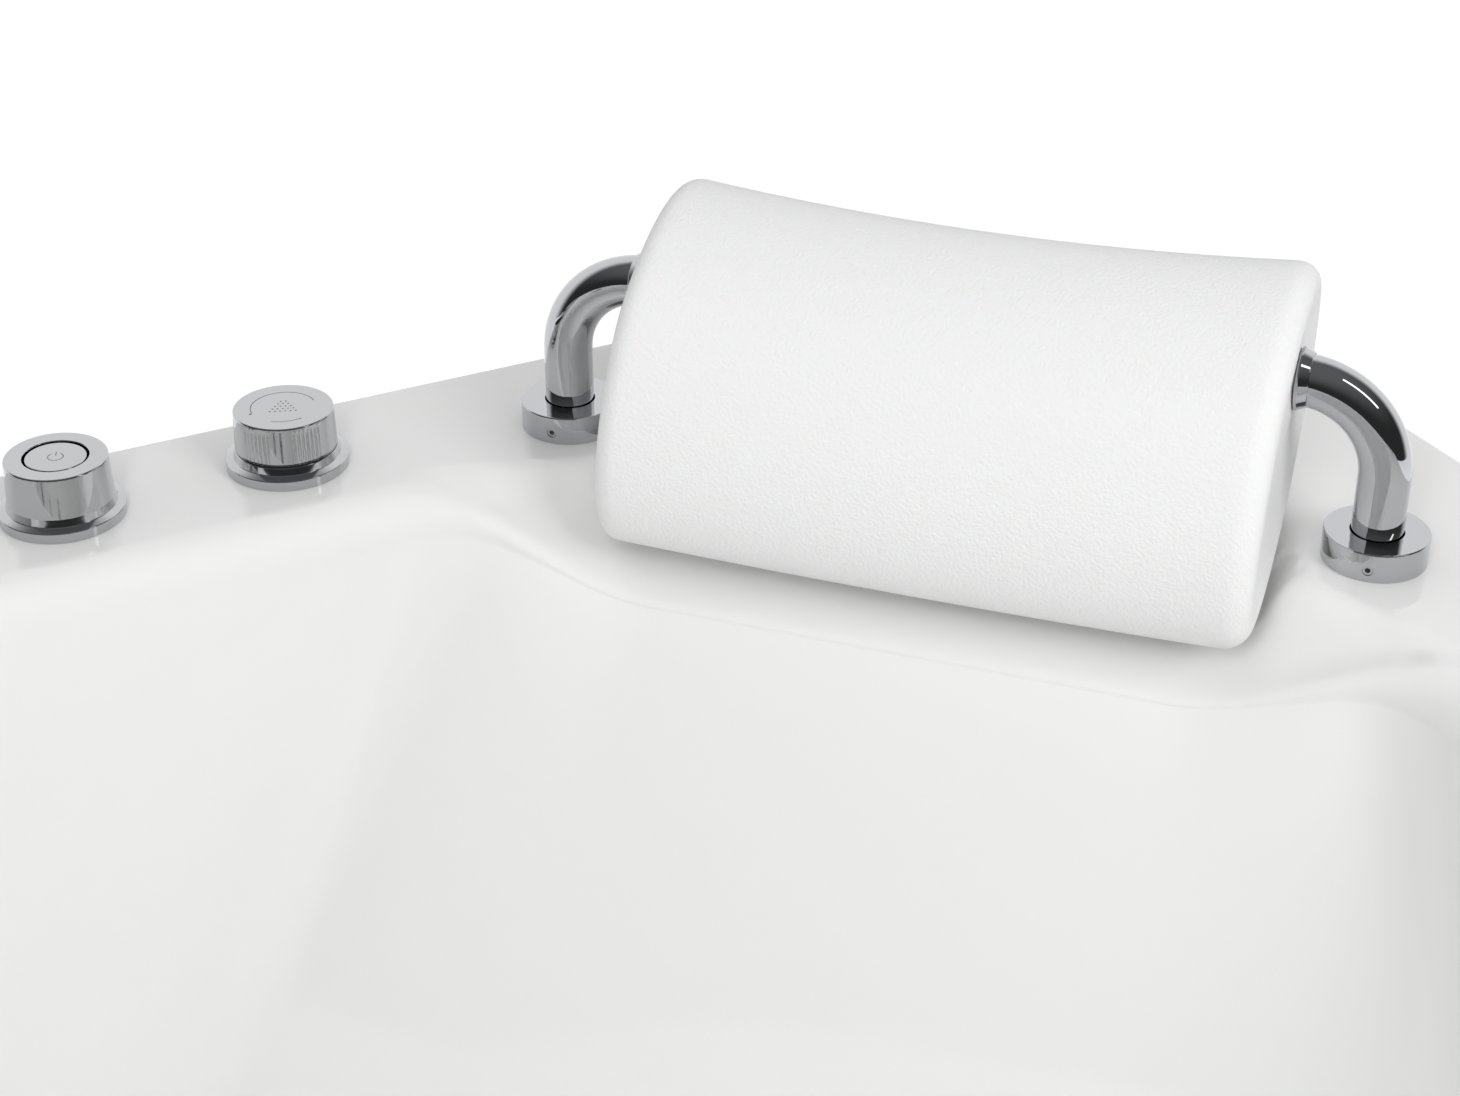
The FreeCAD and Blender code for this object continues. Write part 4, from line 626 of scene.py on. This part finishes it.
BUTTON_XY = (0.1512, 0.5096)
KNOB_XY = (0.2666, 0.5096)
TAIL = [(0.017, -0.046, 0), (0.017, 0.0, 0)]
FLANGE = [(0.031, 0.0, 0.0004), (0.031, 0.0053, 0.0006), (0.0272, 0.0068, 0.0006), (0.0262, 0.0106, 0.0006)]
BARB = [(0.002, -0.062, 0), (0.003, -0.062, 0), (0.004, -0.056, 0), (0.003, -0.056, 0), (0.004, -0.050, 0),
        (0.003, -0.050, 0), (0.003, -0.046, 0)]

# Moulded ABS under bright nickel and chrome: a mirror a shade softer than plated metal, with
# the slightest moulding ripple.
plated, tree, shader = finish("plated_abs", Base_Color=linear("C2C3C5"), Metallic=1.0, Roughness=0.05)
place = add(tree, "ShaderNodeTexCoord")
ripple = add(tree, "ShaderNodeTexNoise", [("Vector", place, "Object")], Scale=90.0, Detail=1.0)
bumped(tree, shader, ripple, "Fac", 0.00005)


CONTROL_R, CONTROL_H = 0.0252, 0.0318
WALL_FROM, WALL_TO = 0.0125, 0.0300
FLUTES, FLUTE_DEPTH = 14, 0.00022


def shallow_flutes(t, profile):
    """Faint hollows 0.22 mm deep, evenly round the straight wall: the square of a raised cosine."""
    wall = (profile[:, 1] > WALL_FROM) & (profile[:, 1] < WALL_TO) & (profile[:, 0] > 0.02)
    return -FLUTE_DEPTH * (0.5 + 0.5 * np.cos(FLUTES * t))[None] ** 2 * wall[:, None]


BUTTON_BORE, BUTTON_R, BUTTON_H = 0.0162, 0.0150, 0.0314
body_profile = rounded_profile(BARB + TAIL + FLANGE + [
    (CONTROL_R, CONTROL_H, 0.0011), (BUTTON_BORE, CONTROL_H, 0.0005), (BUTTON_BORE, 0.008, 0),
    (0.003, 0.008, 0), (0.003, -0.040, 0), (0.002, -0.040, 0), BARB[0]])
housing = turned("button_body", body_profile, (*BUTTON_XY, DECK), steps=224, wobble=shallow_flutes)
dress(housing, plated, "bath", "chromed_plastic", "button_housing")
GUIDE_R, CUP_R = 0.01594, 0.012
cap_profile = rounded_profile([(0.0, BUTTON_H, 0), (BUTTON_R, BUTTON_H, 0.0007), (BUTTON_R, 0.0275, 0),
                               (GUIDE_R, 0.027, 0), (GUIDE_R, 0.014, 0), (CUP_R, 0.014, 0),
                               (CUP_R, 0.020, 0), (0.0, 0.020, 0)])
cap = turned("push_button", cap_profile, (*BUTTON_XY, DECK), steps=128)
dress(cap, plated, "button", "chromed_plastic", "power_button")

RIB_GROUPS = 6
RIBS = 6
RIB_PITCH = 5.4
RIB_DEPTH = 0.0008
KNOB_TURN = 8.0
KNOB_FOOT, KNOB_FOOT_R = 0.0112, 0.0258


def rib_groups(t, profile):
    """Six groups of round ribs between smooth lobes: within a group the wall is drawn in by up to
    0.8 mm where the sine of the rib angle falls to nothing."""
    wall = smooth((profile[:, 1] - KNOB_FOOT - 0.0002) / 0.0006) * smooth((WALL_TO - profile[:, 1]) / 0.0012)
    wall = (wall * (profile[:, 0] > 0.02))[:, None]
    inside = (np.degrees(t) - 270.0 - KNOB_TURN + RIBS * RIB_PITCH / 2) % (360 / RIB_GROUPS)
    proud = np.where(inside < RIBS * RIB_PITCH, np.abs(np.sin(np.pi * inside / RIB_PITCH)) ** 0.6, 1.0)
    return -RIB_DEPTH * (1 - proud)[None] * wall


base_profile = rounded_profile(TAIL + FLANGE + [
    (0.019, 0.0106, 0), (0.019, 0.022, 0), (0.0112, 0.022, 0), (0.0112, -0.030, 0), (0.008, -0.030, 0),
    (0.008, -0.046, 0), TAIL[0]])
knob_base = turned("air_base", base_profile, (*KNOB_XY, DECK), steps=128)
dress(knob_base, plated, "bath", "chromed_plastic", "air_control_body")
top_edge = rounded_profile([(0.0, CONTROL_H, 0), (CONTROL_R, CONTROL_H, 0.0011), (KNOB_FOOT_R, KNOB_FOOT, 0)],
                           steps=6)[:-1]
wall_rise = np.linspace(WALL_TO, KNOB_FOOT, 14)
taper = (KNOB_FOOT_R - CONTROL_R) / (CONTROL_H - KNOB_FOOT)
wall_rows = np.column_stack([KNOB_FOOT_R - taper * (wall_rise - KNOB_FOOT), wall_rise])
knob_hollow = [(0.01912, KNOB_FOOT), (0.01912, 0.0225), (0.0, 0.0225)]
knob_profile = np.vstack([top_edge[top_edge[:, 1] > WALL_TO + 0.0001], wall_rows, knob_hollow])
knob = turned("air_dial", knob_profile, (*KNOB_XY, DECK), steps=720, wobble=rib_groups)
dress(knob, plated, "air_control", "chromed_plastic", "air_knob")

# Laser-etched marks on the two tops: matt grey where the plating is roughened, 0.02 mm proud here
# so that they stay clear of the mirror under them.
etched, tree, shader = finish("etched_mark", Metallic=1.0, Roughness=0.5)
place = add(tree, "ShaderNodeTexCoord")
burn = add(tree, "ShaderNodeTexNoise", [("Vector", place, "Object")], Scale=2500.0, Detail=1.0)
burnt = add(tree, "ShaderNodeMix", [("Factor", burn, "Fac")], data_type="RGBA")
burnt.inputs[6].default_value, burnt.inputs[7].default_value = linear("77787A"), linear("8E8F92")
tree.links.new(burnt.outputs[2], shader.inputs["Base Color"])
MARK_WIDTH = 0.0005
MARK_PROUD = 0.00002


def arc_mark(radius, first, last):
    """Flat band along an arc between two angles in degrees."""
    t = np.radians(np.linspace(first, last, 49))
    rows = [np.column_stack([r * np.cos(t), r * np.sin(t)]) for r in (radius, radius - MARK_WIDTH)]
    return np.vstack(rows), quads(2, 49, closed=False)


def disc_mark(centre, radius, corners=14):
    """Flat round dot, or a triangle where it has three corners."""
    t = np.linspace(0, 2 * np.pi, corners, endpoint=False) + np.pi / 2
    return np.asarray(centre) + radius * np.column_stack([np.cos(t), np.sin(t)]), [list(range(corners))]


def line_mark(start, end):
    """Flat band from start to end."""
    start, end = np.asarray(start), np.asarray(end)
    side = (end - start) / np.linalg.norm(end - start) @ np.array([[0, 1], [-1, 0]]) * MARK_WIDTH / 2
    return np.vstack([start - side, end - side, end + side, start + side]), [[0, 1, 2, 3]]


def etch(name, marks, centre, rise, turn_degrees, body, *nodes):
    """One flat piece from marks drawn about a control's middle and turned to face the bather."""
    turn = math.radians(turn_degrees)
    spin = np.array([[math.cos(turn), math.sin(turn)], [-math.sin(turn), math.cos(turn)]])
    points, faces = [], []
    for shape, loops in marks:
        start = sum(len(p) for p in points)
        points.append(shape @ spin + centre)
        faces += [[int(k) + start for k in loop] for loop in loops]
    obj = piece(name, lifted(np.vstack(points), DECK + rise + MARK_PROUD), faces, closed=False)
    if obj.data.polygons[0].normal.z < 0:
        obj.data.flip_normals()
    dress(obj, etched, body, "chromed_plastic", *nodes)


FACING = -20.0
power = [arc_mark(0.0040, 125, 415), line_mark((0, 0.0012), (0, 0.0050))]
etch("power_mark", power, np.array(BUTTON_XY), BUTTON_H, FACING, "button")
SWEEP_R = 0.0165
DROP_ROWS, DROP_PITCH, DROP_R = 5, 0.0026, 0.00055
spray = [arc_mark(SWEEP_R, 20, 200), disc_mark((-0.0160, -0.0062), 0.0011, 3), arc_mark(SWEEP_R, 250, 300),
         disc_mark((0.0088, -0.0137), 0.0006)]
for row in range(DROP_ROWS):
    for k in range(row + 2):
        spray.append(disc_mark(((k - (row + 1) / 2) * DROP_PITCH, 0.0062 - row * 0.0027), DROP_R))
etch("air_mark", spray, np.array(KNOB_XY), CONTROL_H, FACING, "air_control")

# ------------------------------------------------------------------ everything made as the CAD has it
# Plumbing, pump, frame and panels keep the CAD's own surfaces and get their real materials.


def surface(name, pale, dark, rough, grain, depth, cells=False, **sockets):
    """A finish whose colour drifts between two hex values and whose skin has bumps: grain is their
    size and depth their height, in millimetres. Cells are crisp flakes, otherwise it is a noise."""
    made, tree, shader = finish(name, **sockets)
    place = add(tree, "ShaderNodeTexCoord")
    kind = "ShaderNodeTexVoronoi" if cells else "ShaderNodeTexNoise"
    pattern = add(tree, kind, [("Vector", place, "Object")], Scale=1000.0 / grain)
    drift = add(tree, "ShaderNodeMapRange", [("Value", pattern, "Color")])
    drift.inputs["From Min"].default_value, drift.inputs["From Max"].default_value = 0.3, 0.7
    tone = add(tree, "ShaderNodeMix", [("Factor", drift, "Result")], data_type="RGBA")
    tone.inputs[6].default_value, tone.inputs[7].default_value = linear(dark), linear(pale)
    tree.links.new(tone.outputs[2], shader.inputs["Base Color"])
    gloss = add(tree, "ShaderNodeMapRange", [("Value", pattern, "Color")])
    gloss.inputs["To Min"].default_value, gloss.inputs["To Max"].default_value = rough * 0.8, rough * 1.2
    tree.links.new(gloss.outputs["Result"], shader.inputs["Roughness"])
    bumped(tree, shader, pattern, "Distance" if cells else "Fac", depth / 1000.0)
    return made


FINISHES = {
    "acrylic": acrylic,
    "chrome": chrome,
    "chromed_plastic": plated,
    "pillow_skin": foam,
    # Turned bar: bright with a faint, fine grain.
    "stainless": surface("turned_stainless", "C4C5C6", "B2B3B5", 0.22, 0.8, 0.01, Metallic=1.0),
    # Bright zinc on welded tube: bluish grey with cloudy crystals about 6 mm across.
    "zinc_steel": surface("zinc_plate", "B9BEC2", "9BA1A7", 0.36, 6.0, 0.02, cells=True, Metallic=1.0),
    # Resin bonded chipboard: straw-coloured flakes about 5 mm across.
    "board": surface("chipboard", "C6A273", "9A7748", 0.75, 5.0, 0.25, cells=True),
    # Extruded and moulded PVC: clean white, half gloss, with a slight orange peel.
    "pvc_white": surface("white_pvc", "EFEFEC", "E8E8E4", 0.30, 3.0, 0.02, IOR=1.53),
    "pvc_grey": surface("grey_pvc", "8F9295", "85888B", 0.38, 3.0, 0.02, IOR=1.53),
    # Glass filled nylon from a spark eroded tool: near black, fine and even.
    "black_plastic": surface("black_nylon", "2B2C2F", "232427", 0.45, 0.7, 0.03, IOR=1.53),
    # Die-cast aluminium, tumbled: a soft grey with a fine pebble.
    "motor_alloy": surface("cast_aluminium", "9A9EA2", "83878B", 0.48, 1.2, 0.06, Metallic=1.0),
    # Pressed rubber: dull, with a trace of bloom.
    "rubber": surface("black_rubber", "232324", "1A1A1B", 0.68, 1.5, 0.02),
}
slot_of = {part["node"]: part["material_slot"] for part in frame["record"]["subparts"]}
for name, obj in frame["nodes"].items():
    obj.data.materials.clear()
    obj.data.materials.append(FINISHES[slot_of[name]])

# ------------------------------------------------------------------ studio
# A pale floor that fades to white, a soft key at the front right, a narrow strip by the lens, and
# a dimly glowing dome over the front of the room that only mirrors see: a painted dark reflection.

half = 12.0
corners = [(-half, -half, 0), (half, -half, 0), (half, half, 0), (-half, half, 0)]
floor = piece("studio_floor", corners, [(0, 1, 2, 3)], closed=False)


def behind_lens(tree):
    """1 for rays from the lens, a mirror or glass, 0 for the rays that light a matt surface."""
    path = add(tree, "ShaderNodeLightPath")
    seen = add(tree, "ShaderNodeMath", [(0, path, "Is Camera Ray"), (1, path, "Is Glossy Ray")],
               operation="MAXIMUM")
    return add(tree, "ShaderNodeMath", [(0, seen, "Value"), (1, path, "Is Transmission Ray")],
               operation="MAXIMUM")


def bare(name):
    """A material with an empty tree."""
    material = bpy.data.materials.new(name)
    material.use_nodes = True
    material.node_tree.nodes.clear()
    return material, material.node_tree


# Matt white paper that also glows a little behind the lens, so that it fades to white.
paper, tree = bare("studio_paper")
matt = add(tree, "ShaderNodeBsdfDiffuse", Color=(0.72, 0.72, 0.72, 1))
glow = add(tree, "ShaderNodeEmission", [("Strength", behind_lens(tree), "Value")],
           Color=(0.60, 0.60, 0.60, 1))
both = add(tree, "ShaderNodeAddShader", [(0, matt, "BSDF"), (1, glow, "Emission")])
add(tree, "ShaderNodeOutputMaterial", [("Surface", both, "Shader")])
floor.data.materials.append(paper)


def aimed(place, aim):
    """Matrix that stands at place and looks at aim along its own -Z, with +Y upwards."""
    back = np.asarray(place, float) - np.asarray(aim, float)
    back /= np.linalg.norm(back)
    side = np.cross([0, 0, 1.0], back)
    side = side / np.linalg.norm(side) if np.linalg.norm(side) > 1e-6 else np.array([1.0, 0, 0])
    pose = np.eye(4)
    pose[:3, 0], pose[:3, 1], pose[:3, 2], pose[:3, 3] = side, np.cross(back, side), back, place
    return Matrix(pose.tolist())


def softbox(name, place, aim, width, height, power, mirrored=True):
    """A rectangular soft light that faces aim. One that isn't mirrored lights matt surfaces only."""
    data = bpy.data.lights.new(name, "AREA")
    data.shape = "RECTANGLE"
    data.size, data.size_y, data.energy = width, height, power
    lamp = bpy.data.objects.new(name, data)
    bpy.context.scene.collection.objects.link(lamp)
    lamp.matrix_world = aimed(place, aim)
    lamp.visible_glossy = mirrored


softbox("key_box", (1.1, -1.6, 1.9), (0.3, 0.2, 0.6), 1.0, 1.0, 17, mirrored=False)
softbox("key_strip", (1.25, -0.75, 1.85), (0.35, 0.15, 0.6), 0.20, 0.95, 1.6)
softbox("lens_box", (-0.42, -0.75, 1.45), (0.3, 0.2, 0.65), 0.30, 0.9, 6.0, mirrored=False)
softbox("lens_strip", (-0.42, -0.75, 1.45), (0.3, 0.2, 0.65), 0.14, 0.9, 1.2)

GLOW_DOME_R, GLOW_DOME_ROWS, GLOW_DOME_STEPS = 3.6, 24, 64
azimuth = np.linspace(0, 2 * np.pi, GLOW_DOME_STEPS, endpoint=False)
height = np.radians(np.linspace(-4, 90, GLOW_DOME_ROWS))[:, None]
dome = np.stack([np.cos(height) * np.cos(azimuth), np.cos(height) * np.sin(azimuth),
                 np.sin(height) * np.ones(GLOW_DOME_STEPS)], -1).reshape(-1, 3) * GLOW_DOME_R
reflection_dome = piece("studio_reflection_dome", dome + [0.2, 0.1, 0.3], quads(GLOW_DOME_ROWS, GLOW_DOME_STEPS))

# A dim glow that only mirrors see, a painted reflection of a dark room: darkest low down, paler with height, and
# thinning out to nothing towards the back.
reflection_glow, tree = bare("studio_reflection_glow")
place = add(tree, "ShaderNodeTexCoord")
axes = add(tree, "ShaderNodeSeparateXYZ", [("Vector", place, "Object")])
lift = add(tree, "ShaderNodeMapRange", [("Value", axes, "Z")], interpolation_type="SMOOTHSTEP")
for key, value in (("From Min", 1.2), ("From Max", 3.8), ("To Min", 0.035), ("To Max", 0.16)):
    lift.inputs[key].default_value = value
# Painted reflection: the glow's strength rises with height.
dark = add(tree, "ShaderNodeEmission", [("Strength", lift, "Result")])
torn = add(tree, "ShaderNodeVectorMath", [(0, place, "Object")], operation="DOT_PRODUCT")
torn.inputs[1].default_value = (0.40, 0.80, -0.45)
opened = add(tree, "ShaderNodeMapRange", [("Value", torn, "Value")], interpolation_type="SMOOTHSTEP")
opened.inputs["From Min"].default_value, opened.inputs["From Max"].default_value = -0.3, 1.1
clear = add(tree, "ShaderNodeBsdfTransparent")
cover = add(tree, "ShaderNodeMixShader", [(0, opened, "Result"), (1, dark, "Emission"), (2, clear, "BSDF")])
add(tree, "ShaderNodeOutputMaterial", [("Surface", cover, "Shader")])
reflection_dome.data.materials.append(reflection_glow)
reflection_dome.visible_camera = reflection_dome.visible_diffuse = reflection_dome.visible_shadow = False

# Matt surfaces get a grey fill, and the lens and mirrors see white.
world = bpy.data.worlds.new("studio")
bpy.context.scene.world = world
world.use_nodes = True
tree = world.node_tree
tree.nodes.clear()
fill = add(tree, "ShaderNodeBackground", Color=(0.55, 0.55, 0.553, 1), Strength=1.0)
white = add(tree, "ShaderNodeBackground", Color=(1, 1, 1, 1), Strength=1.0)
mix = add(tree, "ShaderNodeMixShader", [(0, behind_lens(tree), "Value"), (1, fill, "Background"),
                                        (2, white, "Background")])
add(tree, "ShaderNodeOutputWorld", [("Surface", mix, "Shader")])

# ------------------------------------------------------------------ camera
# Solved from the deck's edge, the two controls and the rail: it stands in front of the bath and
# looks down on the headrest's corner.

YAW, PITCH, ROLL_TILT = 0.466, 0.526, -0.002
CAMERA_PLACE = (-0.0729, -0.6647, 1.2469)
ahead = np.array([math.sin(YAW) * math.cos(PITCH), math.cos(YAW) * math.cos(PITCH), -math.sin(PITCH)])
right = np.array([math.cos(YAW), -math.sin(YAW), 0.0])
above = np.cross(right, ahead)
tilted_right = right * math.cos(ROLL_TILT) + above * math.sin(ROLL_TILT)
tilted_up = above * math.cos(ROLL_TILT) - right * math.sin(ROLL_TILT)
data = bpy.data.cameras.new("photo_camera")
data.sensor_fit = "HORIZONTAL"
data.sensor_width = 36.0
data.lens = 66.2
camera = bpy.data.objects.new("photo_camera", data)
bpy.context.scene.collection.objects.link(camera)
pose = np.eye(4)
pose[:3, 0], pose[:3, 1], pose[:3, 2] = tilted_right, tilted_up, -ahead
pose[:3, 3] = CAMERA_PLACE
camera.matrix_world = Matrix(pose.tolist())
bpy.context.scene.camera = camera
bpy.context.scene.view_settings.view_transform = "Standard"
